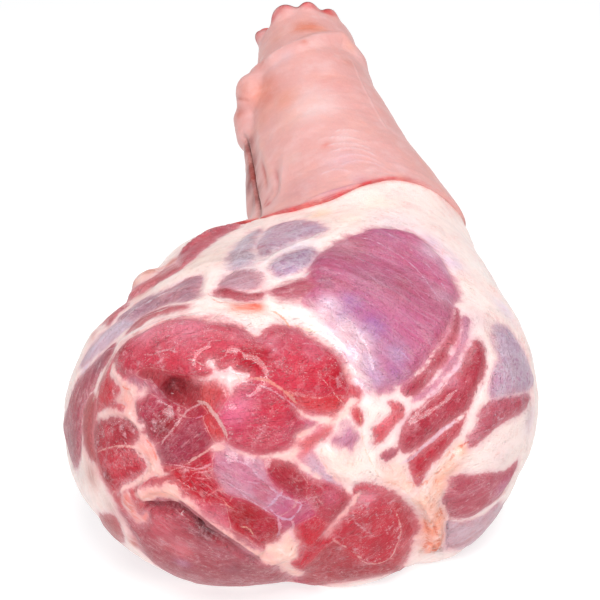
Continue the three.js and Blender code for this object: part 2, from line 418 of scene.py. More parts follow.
def soft_noise(p, size, seed):
    """Smooth noise from -1 to 1: seeded numbers on a lattice with cells of the given size, eased between."""
    lattice = np.random.default_rng(seed).uniform(-1, 1, (32, 32, 32))
    q = p / size
    i = np.floor(q).astype(int)
    f = q - i
    f = f * f * (3 - 2 * f)
    total = 0.0
    for corner in np.ndindex(2, 2, 2):
        c = np.array(corner)
        weight = np.prod(np.where(c, f, 1 - f), axis=-1)
        total = total + weight * lattice[tuple(((i + c) % 32)[..., k] for k in range(3))]
    return total


# Points outside an outline count as no further from it than this many mm.
WELL_OUTSIDE = 14.0


def inside_outline(p, normal, outline):
    """How far inside a closed outline on the surface each point lies, negative outside. Both are laid flat on
    the plane that fits the outline; points far off it or facing elsewhere are well outside."""
    middle = outline.mean(0)
    facing = slope(outline).mean(0)
    facing /= np.linalg.norm(facing)
    first = np.cross(facing, (0, 0.3, 1.0))
    first /= np.linalg.norm(first)
    second = np.cross(facing, first)
    reach = np.linalg.norm(outline - middle, axis=1).max() + WELL_OUTSIDE
    found = np.full(len(p), -WELL_OUTSIDE)
    near = np.nonzero((np.linalg.norm(p - middle, axis=1) < reach) & (normal @ facing > 0.15))[0]
    q = (p[near] - middle) @ np.stack([first, second], -1)
    line = (outline - middle) @ np.stack([first, second], -1)
    distance = np.full(len(q), 1e9)
    crossings = np.zeros(len(q), int)
    for a, b in zip(line, np.roll(line, -1, axis=0)):
        u = b - a
        t = np.clip((q - a) @ u / (u @ u + 1e-12), 0, 1)
        distance = np.minimum(distance, np.linalg.norm(q - a - t[:, None] * u, axis=1))
        straddles = (a[1] > q[:, 1]) != (b[1] > q[:, 1])
        rise = u[1] if abs(u[1]) > 1e-12 else 1e-12
        crossings += straddles & (q[:, 0] < a[0] + (q[:, 1] - a[1]) * u[0] / rise)
    found[near] = np.maximum(np.where(crossings % 2 == 1, distance, -distance), -WELL_OUTSIDE)
    return found


# Each muscle as it lies in the photograph's frame: its outline in pixels, its colour on a screen, the way
# its fibres run in degrees from the right, its bulge, and how strong its veins, flecks and silverskin are.
MUSCLES = {
    "top of the face": (
        "118 352, 126 342, 142 331, 163 321, 190 317, 216 321, 240 326, 250 333, 258 337, 266 330, 280 324,"
        "298 327, 314 338, 330 347, 341 357, 348 371, 351 384, 340 392, 318 396, 300 392, 285 384, 266 377,"
        "246 373, 232 366, 214 366, 200 372, 184 374, 165 371, 148 366, 135 372, 122 372, 113 364",
        (217, 88, 104), 20, 1.6, 0.35, 0.7, 0.0),
    "pocket": (
        "140 374, 150 370, 165 370, 182 374, 198 379, 206 386, 204 396, 197 404, 186 407, 176 403, 167 397,"
        "160 390, 150 382, 142 380", (176, 70, 74), 60, 0.0, 0.1, 0.1, 0.0),
    "flap by the pocket": (
        "200 384, 212 382, 222 386, 229 393, 230 402, 224 410, 214 410, 206 402, 199 394",
        (226, 112, 104), 60, 0.6, 0.1, 0.2, 0.0),
    "left of the pocket": (
        "144 398, 150 392, 160 396, 168 400, 176 404, 182 412, 182 420, 176 428, 168 436, 160 438, 150 432,"
        "143 420, 141 408", (184, 58, 84), 40, 1.0, 0.3, 0.8, 0.1),
    "web by the pocket": (
        "132 380, 142 378, 150 380, 158 390, 164 397, 156 398, 148 394, 142 392, 134 387",
        (192, 112, 130), 120, 0.3, 0.9, 0.1, 0.4),
    "small oval": (
        "187 413, 193 409, 199 409, 204 413, 200 417, 192 418", (184, 64, 80), 40, 0.5, 0.0, 0.2, 0.0),
    "smaller oval": (
        "173 411, 178 407, 184 408, 185 413, 181 418, 175 417", (182, 68, 86), 40, 0.5, 0.0, 0.2, 0.0),
    "dark middle": (
        "180 425, 190 420, 203 420, 210 430, 211 440, 206 448, 196 455, 186 461, 175 460, 165 455, 162 447,"
        "168 438, 174 432", (165, 48, 78), 45, 1.0, 0.3, 0.3, 0.1),
    "strip right of the middle": (
        "205 421, 214 420, 221 428, 222 436, 214 438, 208 432", (220, 85, 75), 60, 0.6, 0.2, 0.3, 0.0),
    "under the middle": (
        "188 466, 198 460, 207 452, 214 450, 213 462, 206 470, 195 470",
        (205, 60, 75), 30, 0.6, 0.2, 0.3, 0.0),
    "left eye": (
        "97 425, 104 418, 116 419, 128 425, 138 433, 136 440, 122 443, 108 446, 98 446, 93 438",
        (180, 52, 66), 150, 0.9, 0.5, 0.9, 0.0),
    "lower left eye": (
        "97 455, 110 450, 125 447, 133 452, 138 460, 146 470, 140 478, 130 484, 118 488, 110 480, 103 468",
        (200, 62, 76), 130, 0.9, 0.5, 0.7, 0.0),
    "left corner": (
        "100 385, 106 376, 114 378, 117 390, 114 398, 120 405, 118 412, 104 412, 96 405",
        (214, 72, 80), 100, 0.8, 0.3, 0.6, 0.0),
    "centre": (
        "230 394, 240 386, 254 385, 268 390, 282 401, 294 410, 306 418, 318 420, 324 424, 316 432, 306 438,"
        "298 443, 290 448, 276 452, 260 452, 246 450, 234 444, 227 436, 226 425, 222 412, 222 402",
        (214, 70, 98), 10, 1.6, 0.3, 0.5, 0.1),
    "right lobe": (
        "288 396, 300 397, 318 399, 332 397, 342 402, 336 412, 320 416, 308 412, 298 406",
        (222, 84, 84), 5, 0.8, 0.3, 0.3, 0.0),
    "right lobe end": (
        "350 380, 356 383, 360 393, 359 403, 353 400, 349 390", (214, 76, 84), 80, 0.4, 0.2, 0.3, 0.0),
    "small red one": (
        "352 408, 360 408, 364 418, 360 425, 352 420", (225, 90, 85), 80, 0.5, 0.0, 0.2, 0.0),
    "orange flap": (
        "300 438, 310 432, 320 426, 330 424, 334 428, 330 436, 322 441, 316 448, 312 460, 303 462, 296 456,"
        "297 446", (240, 146, 134), 20, 0.4, 0.2, 0.2, 0.1),
    "pale eye": (
        "213 455, 222 448, 236 452, 252 460, 264 468, 268 478, 276 488, 290 498, 300 503, 296 512, 286 516,"
        "274 510, 262 503, 250 497, 240 492, 228 488, 221 480, 216 470",
        (214, 132, 160), 145, 1.0, 0.3, 0.3, 0.5),
    "right of the pale eye": (
        "268 466, 280 463, 292 464, 298 470, 302 478, 306 488, 303 496, 292 496, 282 490, 274 482, 268 474",
        (180, 65, 75), 130, 0.9, 0.3, 0.4, 0.0),
    "far right": (
        "312 480, 325 480, 338 487, 348 494, 354 500, 348 510, 336 518, 322 522, 310 512, 308 498, 306 488",
        (196, 80, 92), 20, 1.0, 0.3, 0.5, 0.0),
    "red fan": (
        "165 478, 178 471, 195 470, 208 466, 212 474, 218 486, 222 494, 230 500, 222 502, 210 500, 196 497,"
        "182 491, 170 486", (202, 42, 58), 140, 0.9, 0.9, 0.4, 0.0),
    "deep red": (
        "228 502, 238 500, 250 503, 262 510, 272 516, 278 524, 276 536, 268 543, 258 538, 248 530, 236 524,"
        "228 516", (190, 28, 46), 140, 1.0, 0.5, 0.2, 0.0),
    "between the reds": (
        "190 500, 208 504, 224 506, 228 516, 226 522, 212 518, 198 509",
        (224, 112, 130), 150, 0.4, 0.3, 0.3, 0.2),
    "pink wedge": (
        "283 504, 296 500, 310 500, 318 510, 312 520, 300 524, 290 530, 281 522",
        (205, 80, 125), 30, 0.7, 0.3, 0.3, 0.2),
    "red wedge": (
        "298 520, 312 512, 325 518, 328 530, 320 545, 310 556, 298 560, 294 545, 294 530",
        (218, 48, 70), 60, 0.9, 0.4, 0.5, 0.0),
    "low right": (
        "338 522, 350 515, 364 510, 378 505, 390 512, 396 525, 395 538, 388 550, 375 558, 360 560, 350 552,"
        "342 540", (208, 56, 72), 30, 1.1, 0.4, 0.8, 0.0),
    "low right edge": (
        "393 498, 402 500, 411 510, 415 520, 414 535, 409 550, 405 562, 398 570, 396 560, 399 545, 401 530,"
        "399 512", (200, 76, 82), 70, 0.7, 0.4, 0.5, 0.0),
    "lowest": (
        "320 552, 332 545, 345 550, 358 562, 380 565, 395 560, 405 566, 398 572, 370 577, 340 580, 322 580,"
        "316 568", (190, 75, 80), 0, 0.6, 0.4, 0.5, 0.0),
    "above the low right": (
        "352 490, 362 480, 380 484, 392 492, 388 502, 372 508, 358 508",
        (214, 82, 96), 0, 0.8, 0.3, 0.9, 0.0),
    "under the lip": (
        "143 508, 160 501, 180 502, 192 512, 208 522, 222 527, 240 537, 256 550, 266 558, 280 566, 282 574,"
        "262 582, 240 586, 215 586, 190 580, 170 568, 152 558, 140 546, 132 532, 129 520",
        (178, 78, 86), 150, 1.0, 0.7, 0.4, 0.2),
    "red strip low on the left": (
        "118 494, 126 490, 136 497, 142 508, 136 512, 126 506", (214, 82, 78), 130, 0.5, 0.3, 0.5, 0.0),
    # left flank and the rim above it
    "left flank": (
        "68 405, 72 390, 80 376, 92 362, 106 350, 116 342, 112 356, 104 368, 97 378, 92 390, 85 405, 82 420,"
        "82 440, 80 460, 76 470, 70 455, 65 435, 63 420", (180, 86, 98), 70, 0.6, 0.9, 0.4, 0.25),
    "left wall": (
        "84 406, 91 393, 96 397, 95 410, 93 425, 93 440, 96 452, 101 467, 94 463, 86 452, 83 440, 82 421",
        (192, 112, 104), 90, 0.2, 0.2, 0.0, 0.0),
    # Silverskin, its whitish colour partly a painted highlight of the light on the shoulder.
    "silverskin with painted sheen on the left shoulder": (
        "78 368, 88 350, 100 336, 116 322, 132 316, 136 322, 124 332, 112 342, 100 352, 88 362",
        (222, 208, 226), 45, 0.4, 0.6, 0.1, 0.6),
    "low left corner": (
        "98 515, 110 514, 120 524, 124 538, 120 545, 108 538, 100 526",
        (194, 122, 112), 120, 0.4, 0.3, 0.1, 0.0),
    # behind the face, upper left
    "back strip": (
        "176 262, 180 252, 190 242, 205 232, 222 225, 240 221, 250 222, 240 228, 222 236, 208 246, 196 256,"
        "186 264, 180 268", (204, 108, 114), 35, 0.6, 0.5, 0.4, 0.2),
    "behind the face": (
        "118 318, 130 308, 146 297, 160 292, 175 286, 190 278, 202 277, 200 290, 198 298, 188 302, 170 303,"
        "150 312, 135 320, 120 330", (174, 108, 124), 25, 0.7, 0.8, 0.2, 0.6),
    "strip behind the face": (
        "125 335, 135 322, 150 312, 165 307, 185 304, 188 308, 170 313, 152 318, 140 326",
        (206, 128, 122), 25, 0.4, 0.5, 0.2, 0.2),
    "streaks on the shoulder": (
        "120 300, 134 288, 150 278, 166 268, 178 262, 184 266, 172 275, 156 284, 140 293, 126 303",
        (214, 138, 132), 35, 0.6, 0.6, 0.4, 0.2),
    "edge of the shoulder": (
        "100 322, 112 308, 124 300, 130 304, 118 314, 108 326", (212, 132, 128), 45, 0.5, 0.5, 0.3, 0.3),
    # top
    "mottled on the left": (
        "228 264, 231 251, 240 240, 252 232, 262 228, 259 238, 254 248, 257 258, 250 264, 241 270, 232 270",
        (190, 164, 180), 30, 0.4, 0.2, 0.2, 0.9),
    "mottled on top": (
        "258 257, 256 246, 262 234, 272 226, 288 221, 304 220, 318 222, 328 229, 318 236, 304 239, 290 245,"
        "276 252, 266 258", (194, 144, 172), 30, 0.5, 0.2, 0.2, 0.8),
    "under the ridge": (
        "268 264, 282 256, 296 250, 308 247, 318 250, 313 262, 304 270, 292 276, 278 276, 270 271",
        (186, 142, 184), 30, 0.6, 0.2, 0.2, 0.9),
    "top left strip": (
        "217 288, 222 278, 232 272, 246 268, 258 271, 263 280, 257 288, 244 291, 230 291",
        (200, 144, 156), 20, 0.5, 0.4, 0.4, 0.6),
    "dark red strip": (
        "212 290, 222 286, 234 288, 246 292, 258 292, 270 290, 262 299, 246 300, 230 297, 216 294",
        (186, 86, 94), 0, 0.6, 0.5, 0.3, 0.1),
    "red strip": (
        "266 293, 276 285, 292 279, 310 277, 330 281, 340 290, 324 298, 300 301, 280 300",
        (192, 96, 112), 5, 0.6, 0.5, 0.4, 0.3),
    "purple muscle": (
        "305 275, 312 262, 322 250, 340 240, 358 233, 375 227, 395 228, 412 233, 428 243, 440 256, 448 268,"
        "455 282, 459 296, 455 308, 450 326, 444 340, 434 352, 425 366, 412 380, 400 388, 385 395, 372 392,"
        "362 380, 358 365, 352 350, 340 330, 325 315, 308 305, 300 298",
        (208, 104, 148), 145, 1.6, 0.3, 0.25, 0.38),
    "dark strip": (
        "455 306, 461 312, 461 325, 458 340, 452 350, 448 362, 438 370, 432 380, 422 391, 412 396, 403 392,"
        "400 386, 408 380, 418 372, 428 362, 434 352, 444 340, 450 326, 453 315",
        (180, 60, 80), 60, 0.6, 0.4, 0.3, 0.1),
    "film right of the dark strip": (
        "462 314, 469 320, 468 336, 463 350, 455 364, 445 376, 435 388, 424 397, 413 401, 420 394, 432 383,"
        "442 371, 452 354, 459 342, 462 328", (212, 152, 184), 60, 0.3, 0.2, 0.1, 0.4),
    # right
    "right belt": (
        "473 341, 480 342, 486 352, 487 366, 482 380, 477 393, 472 405, 466 412, 452 422, 440 431, 428 440,"
        "415 449, 405 453, 399 449, 399 436, 404 425, 414 411, 427 401, 439 389, 454 375, 462 366, 467 352",
        (188, 66, 82), 50, 1.6, 0.1, 0.4, 0.1),
    "under the belt": (
        "467 412, 462 418, 452 424, 440 434, 430 442, 420 450, 412 456, 408 463, 410 473, 415 480, 420 478,"
        "428 468, 438 457, 450 446, 460 434, 466 422", (202, 62, 78), 50, 0.9, 0.2, 0.4, 0.0),
    "belt end": (
        "382 455, 392 450, 400 448, 396 456, 386 462", (175, 75, 100), 40, 0.4, 0.2, 0.3, 0.1),
    "right flank": (
        "493 328, 506 326, 517 340, 527 358, 533 375, 533 388, 520 394, 505 396, 494 400, 488 392, 492 375,"
        "496 355, 493 340", (188, 128, 166), 80, 0.9, 0.2, 0.2, 1.0),
    "right middle": (
        "478 410, 488 402, 500 397, 515 395, 527 393, 531 399, 524 409, 514 418, 504 424, 496 430, 486 438,"
        "476 446, 468 448, 469 438, 474 426", (192, 72, 92), 35, 0.9, 0.5, 0.3, 0.3),
    "low right flank": (
        "452 478, 462 474, 478 474, 492 472, 508 468, 518 462, 512 478, 504 490, 494 502, 480 512, 466 518,"
        "452 518, 445 508, 441 498, 448 488", (192, 88, 102), 20, 0.9, 0.6, 0.4, 0.2),
    "bottom right": (
        "446 518, 462 522, 484 514, 500 502, 506 510, 492 530, 470 546, 452 550, 444 540, 444 528",
        (214, 164, 176), 30, 0.5, 0.5, 0.2, 0.7),
    "set in the fat": (
        "376 438, 372 430, 382 420, 392 412, 388 402, 396 401, 404 410, 402 418, 394 428, 384 440, 374 444",
        (225, 110, 110), 50, 0.6, 0.3, 0.6, 0.0),
    "lavender triangle": (
        "348 420, 356 430, 360 440, 352 450, 340 448, 330 440, 338 432",
        (218, 176, 200), 60, 0.4, 0.1, 0.1, 0.3),
    "lavender patch": (
        "300 450, 310 446, 316 452, 322 464, 330 474, 340 484, 332 484, 320 478, 308 468, 300 460",
        (220, 160, 184), 150, 0.3, 0.2, 0.1, 0.7),
}

# The whole of the cut face: it is muscle wherever none of the patches of fat lies.
FACE_OUTLINE = (
    "118 351, 128 341, 142 331, 163 321, 190 317, 216 321, 240 326, 258 336, 280 324, 314 338, 341 357,"
    "352 380, 360 400, 350 406, 338 414, 322 426, 300 440, 296 458, 312 470, 336 480, 354 496, 372 484,"
    "392 488, 404 500, 416 520, 415 538, 408 556, 396 572, 340 584, 280 590, 215 590, 168 572, 146 556,"
    "130 530, 112 496, 98 470, 92 440, 94 418, 98 390, 108 366")

# Patches of fat that lie in the muscle, each with its outline and colour.
FAT_PATCHES = {
    "left streak": (
        "113 364, 118 368, 121 376, 127 381, 134 386, 140 391, 144 387, 146 391, 143 396, 138 400, 137 408,"
        "138 414, 141 420, 144 427, 141 433, 136 428, 128 421, 120 417, 112 417, 104 418, 97 420, 95 417,"
        "100 413, 108 410, 117 408, 124 410, 120 405, 116 400, 119 395, 121 390, 117 385, 113 380, 110 375",
        (248, 212, 204)),
    "left column": (
        "140 432, 146 434, 150 440, 156 446, 158 456, 160 464, 163 472, 168 474, 162 478, 152 476, 148 482,"
        "142 485, 136 486, 128 488, 122 493, 117 496, 120 489, 128 483, 134 480, 142 477, 146 471, 146 464,"
        "143 459, 138 456, 134 451, 132 446, 136 440", (248, 208, 198)),
    "middle star": (
        "198 380, 206 378, 212 374, 212 369, 207 366, 209 360, 215 360, 216 366, 221 370, 227 369, 231 366,"
        "234 372, 239 373, 248 376, 246 381, 239 384, 235 388, 231 394, 224 387, 218 383, 208 382",
        (248, 214, 212)),
    "right band": (
        "299 410, 308 416, 320 418, 332 415, 340 411, 347 403, 353 396, 360 400, 354 406, 346 413, 338 419,"
        "330 424, 320 426, 311 432, 300 438, 297 440, 300 434, 312 426, 318 422, 310 419, 302 414",
        (250, 212, 200)),
    "band under the centre": (
        "213 446, 222 444, 232 448, 246 453, 260 455, 274 454, 286 452, 294 447, 298 444, 299 450, 300 458,"
        "308 466, 318 474, 322 479, 314 478, 306 472, 298 465, 288 460, 276 458, 262 458, 248 456, 236 453,"
        "226 451, 216 453", (244, 206, 196)),
    "lip": (
        "137 494, 142 488, 150 485, 160 483, 170 483, 178 488, 186 495, 196 503, 206 513, 217 521, 228 529,"
        "238 536, 250 544, 262 550, 272 557, 282 564, 276 566, 264 562, 254 552, 240 542, 228 533, 216 524,"
        "204 516, 194 508, 184 501, 174 500, 160 499, 146 502, 140 500", (251, 192, 176)),
    "lower blob": (
        "277 541, 283 535, 291 531, 296 540, 299 548, 298 556, 290 560, 294 566, 304 572, 300 578, 288 574,"
        "278 566, 268 557, 266 548, 272 545", (251, 202, 188)),
    "slanting seam": (
        "360 492, 358 499, 350 510, 342 519, 334 527, 327 535, 324 533, 332 524, 340 515, 348 505, 354 496",
        (249, 178, 168)),
    "left of the lip": (
        "120 497, 126 492, 130 497, 134 506, 140 516, 147 512, 146 520, 138 524, 130 517, 124 508",
        (236, 130, 118)),
}

# Tones that lie across the muscles and across the fat, with painted light and shade among them where
# marked: place and radius in pixels, and colour on a screen.
MUSCLE_TONES_AND_PAINTED_LIGHT = [
    # Painted highlight: the pale spots at 190 331 and 150 335 are the light's sheen on the top of the cut
    # face.
    (190, 331, 24, (226, 160, 166)), (150, 335, 15, (224, 164, 166)), (205, 352, 22, (212, 80, 96)),
    (312, 366, 26, (222, 54, 76)), (270, 350, 20, (222, 88, 106)), (126, 351, 8, (170, 38, 48)),
    # Painted highlight: the pale spots at 290 333 and 270 346, the same sheen on the top of the cut face.
    (262, 362, 18, (205, 56, 78)), (290, 333, 14, (208, 132, 142)), (270, 346, 13, (222, 150, 160)),
    # Painted highlight: the pale spots at 310 350 and 240 336, the same sheen on the top of the cut face.
    (310, 350, 13, (220, 134, 148)), (240, 336, 14, (220, 144, 152)), (336, 378, 12, (204, 40, 66)),
    # Painted shade: the dark spots at 170 388 and 186 386 darken the hollow of the pocket.
    (175, 361, 12, (205, 72, 86)), (170, 388, 10, (122, 28, 38)), (186, 386, 8, (150, 44, 50)),
    (106, 431, 5, (132, 28, 42)), (110, 475, 6, (140, 30, 40)), (232, 415, 13, (226, 122, 156)),
    (246, 395, 12, (214, 100, 126)), (210, 488, 16, (198, 44, 62)), (246, 512, 14, (180, 18, 40)),
    (262, 526, 9, (192, 40, 66)), (310, 536, 12, (214, 34, 56)), (376, 545, 10, (182, 50, 64)),
    (350, 570, 16, (172, 68, 74)), (390, 570, 10, (190, 84, 86)), (366, 496, 9, (244, 164, 170)),
    (330, 495, 10, (218, 128, 146)), (72, 400, 16, (170, 66, 78)), (74, 440, 16, (160, 80, 86)),
    (100, 366, 9, (140, 66, 86)), (276, 410, 17, (218, 44, 72)), (262, 440, 14, (206, 92, 104)),
    (312, 424, 9, (228, 140, 176)), (288, 430, 10, (210, 90, 112)), (165, 425, 11, (164, 14, 34)),
    (196, 440, 12, (160, 46, 70)), (284, 504, 13, (200, 78, 128)), (240, 480, 14, (222, 124, 160)),
    # Painted shadow: the dark spot at 206 529 lies in the shadow under the lip of fat.
    (262, 488, 9, (198, 80, 128)), (160, 520, 15, (202, 78, 88)), (206, 529, 12, (122, 22, 30)),
    (238, 566, 16, (156, 62, 74)), (250, 550, 10, (232, 182, 188)), (182, 546, 12, (222, 136, 134)),
    (184, 560, 8, (190, 142, 168)), (165, 540, 12, (196, 84, 90)), (372, 285, 24, (202, 128, 160)),
    (400, 290, 14, (198, 92, 128)), (345, 254, 15, (206, 134, 152)), (356, 248, 12, (184, 92, 112)),
    (436, 250, 14, (214, 150, 190)), (420, 262, 12, (206, 120, 165)), (325, 285, 10, (170, 96, 130)),
    (410, 318, 18, (206, 110, 160)), (350, 306, 14, (176, 124, 186)), (372, 330, 16, (168, 128, 196)),
    (394, 354, 14, (190, 168, 206)), (366, 366, 12, (206, 194, 224)), (356, 340, 10, (190, 170, 214)),
    (447, 300, 12, (212, 116, 152)), (395, 375, 12, (190, 140, 198)), (430, 330, 14, (204, 104, 152)),
    (385, 240, 14, (186, 100, 150)), (340, 318, 10, (176, 140, 196)), (425, 296, 14, (208, 100, 140)),
    (300, 231, 12, (204, 168, 192)), (280, 234, 12, (190, 136, 166)), (262, 250, 10, (184, 124, 140)),
    (318, 226, 12, (196, 160, 192)), (296, 262, 12, (176, 136, 180)), (242, 256, 12, (190, 160, 170)),
    (270, 268, 8, (190, 160, 190)), (505, 345, 12, (206, 178, 206)), (510, 382, 12, (200, 150, 182)),
    (420, 430, 12, (178, 52, 70)), (460, 380, 12, (196, 80, 92)), (415, 445, 8, (200, 60, 84)),
    (478, 500, 14, (200, 92, 104)), (250, 363, 12, (190, 30, 52)), (334, 378, 12, (200, 24, 48)),
    (470, 362, 12, (176, 58, 76)), (500, 486, 12, (200, 130, 160)), (468, 536, 12, (210, 140, 146)),
    # Silverskin with a painted highlight on it, along the left of the purple muscle: the whitish spots from
    # 326 308 here to 374 382 below, and 344 334, 360 346 and 330 310.
    (452, 546, 8, (190, 70, 76)), (480, 534, 8, (196, 84, 90)), (326, 308, 11, (236, 226, 240)),
    (344, 330, 12, (236, 228, 242)), (358, 346, 12, (234, 228, 244)), (364, 364, 12, (228, 222, 242)),
    (374, 382, 10, (216, 200, 230)), (430, 252, 14, (224, 198, 214)), (385, 250, 16, (212, 140, 170)),
    (345, 250, 14, (222, 160, 176)), (440, 300, 14, (228, 160, 186)), (344, 334, 12, (255, 250, 255)),
    (360, 346, 11, (255, 248, 255)), (330, 310, 10, (250, 240, 250)), (366, 496, 8, (250, 176, 182)),
    # Silverskin with a painted highlight on it: the whitish spots at 100 345 and 118 328 on the left
    # shoulder.
    (100, 345, 12, (240, 214, 232)), (118, 328, 10, (240, 220, 236)), (450, 380, 8, (226, 182, 194)),
    # Painted highlight: the pale spot at 312 350, the same sheen on the top of the cut face.
    (312, 350, 12, (236, 140, 154)), (430, 255, 12, (236, 206, 222)), (250, 360, 10, (190, 30, 56)),
    # Painted highlight: the pale spots at 150 335 and 190 333, the same sheen on the top of the cut face.
    (262, 356, 8, (190, 34, 58)), (150, 335, 15, (240, 184, 188)), (190, 333, 20, (238, 170, 178)),
    # Painted shadow: the dark spot at 206 530 deepens the shadow under the lip of fat.
    (165, 427, 9, (130, 0, 8)), (206, 530, 9, (100, 6, 14)), (246, 512, 9, (168, 0, 20)),
    (262, 490, 8, (190, 30, 70)), (110, 432, 10, (222, 90, 100)), (118, 465, 10, (226, 92, 100)),
    (240, 405, 12, (240, 156, 176)), (262, 488, 10, (200, 64, 104)), (160, 520, 16, (226, 116, 122)),
    (182, 546, 12, (230, 142, 142)), (75, 398, 14, (176, 30, 48)), (205, 240, 12, (232, 140, 138)),
    (170, 295, 12, (226, 164, 170)), (385, 425, 10, (246, 140, 142)), (405, 542, 10, (230, 128, 128)),
    (444, 274, 12, (220, 178, 200)), (442, 302, 12, (216, 164, 186)),
]

FAT_TONES_AND_PAINTED_LIGHT = [
    (505, 270, 60, (243, 228, 224)), (430, 520, 24, (248, 172, 150)), (426, 522, 13, (248, 156, 128)),
    (430, 545, 11, (240, 132, 104)), (440, 482, 11, (248, 164, 138)), (452, 464, 11, (248, 186, 160)),
    (440, 485, 14, (251, 196, 174)), (205, 512, 22, (240, 150, 150)), (236, 540, 16, (240, 158, 146)),
    (155, 490, 14, (248, 174, 158)), (125, 400, 22, (238, 156, 146)), (150, 450, 20, (236, 156, 148)),
    (88, 440, 14, (194, 104, 96)), (96, 418, 8, (214, 160, 150)), (92, 475, 16, (206, 146, 140)),
    (118, 514, 18, (206, 158, 154)), (140, 545, 14, (190, 98, 84)), (240, 307, 11, (242, 126, 100)),
    (256, 308, 9, (240, 118, 88)), (174, 261, 11, (208, 118, 106)), (140, 290, 18, (226, 164, 150)),
    (112, 312, 12, (232, 150, 138)), (205, 258, 30, (246, 220, 208)), (462, 340, 15, (230, 196, 208)),
    (456, 368, 15, (226, 188, 208)), (436, 394, 15, (226, 190, 210)), (408, 424, 14, (232, 196, 206)),
    (340, 462, 20, (253, 218, 206)), (390, 474, 18, (250, 198, 184)), (485, 442, 30, (248, 226, 220)),
    (500, 455, 20, (244, 222, 220)), (220, 445, 20, (238, 176, 170)), (240, 480, 16, (236, 160, 160)),
    (180, 410, 12, (220, 150, 150)), (300, 440, 12, (244, 170, 160)), (320, 535, 18, (230, 130, 130)),
    (292, 552, 12, (252, 204, 190)), (300, 572, 8, (248, 150, 130)), (462, 448, 8, (246, 180, 150)),
    (150, 272, 12, (220, 136, 118)), (132, 288, 12, (224, 146, 126)), (118, 306, 10, (222, 134, 118)),
    (104, 322, 8, (220, 132, 120)), (95, 335, 8, (212, 126, 124)), (245, 276, 18, (238, 214, 214)),
    # Silverskin with a painted highlight on it, left of the purple muscle: the bluish white spots at 335 325
    # and 350 352 here, and 318 306 and 360 385 below.
    (330, 352, 10, (250, 226, 218)), (335, 325, 14, (228, 222, 240)), (350, 352, 12, (216, 210, 236)),
    (318, 306, 12, (236, 226, 238)), (360, 385, 10, (232, 220, 234)), (300, 315, 18, (250, 234, 230)),
    (225, 232, 16, (244, 214, 206)), (350, 218, 20, (250, 226, 212)), (320, 214, 14, (252, 216, 190)),
    (380, 205, 24, (252, 228, 214)), (300, 228, 14, (222, 208, 226)), (260, 240, 18, (230, 206, 214)),
    (480, 320, 16, (240, 214, 216)), (505, 310, 16, (232, 214, 228)), (530, 420, 16, (230, 206, 216)),
    # Silverskin with a painted highlight on it: the whitish spots at 100 345 and 118 328 here and 85 368
    # below, on the left shoulder.
    (450, 545, 14, (224, 180, 186)), (100, 345, 14, (226, 214, 236)), (118, 328, 10, (228, 216, 238)),
    (85, 368, 8, (216, 196, 226)), (108, 530, 12, (184, 92, 84)), (244, 264, 18, (216, 200, 208)),
    (292, 246, 22, (228, 214, 226)), (262, 286, 14, (232, 206, 206)), (450, 262, 16, (232, 206, 226)),
    (448, 330, 12, (226, 190, 214)), (396, 224, 30, (240, 222, 226)), (430, 244, 16, (226, 200, 222)),
    (460, 325, 10, (216, 160, 190)), (470, 300, 14, (244, 226, 222)), (458, 342, 10, (200, 96, 130)),
    (252, 307, 9, (236, 110, 90)), (110, 528, 12, (176, 60, 46)), (140, 545, 12, (186, 64, 44)),
    (175, 260, 10, (200, 84, 66)), (458, 342, 8, (186, 60, 100)), (425, 500, 10, (250, 172, 146)),
    (418, 492, 9, (252, 192, 168)), (436, 508, 10, (250, 170, 142)), (436, 535, 11, (244, 150, 122)),
    (405, 480, 9, (252, 200, 178)), (446, 470, 9, (250, 184, 156)), (426, 540, 9, (244, 146, 118)),
    (222, 378, 9, (244, 190, 190)), (440, 215, 22, (250, 232, 226)), (475, 265, 24, (250, 238, 234)),
]
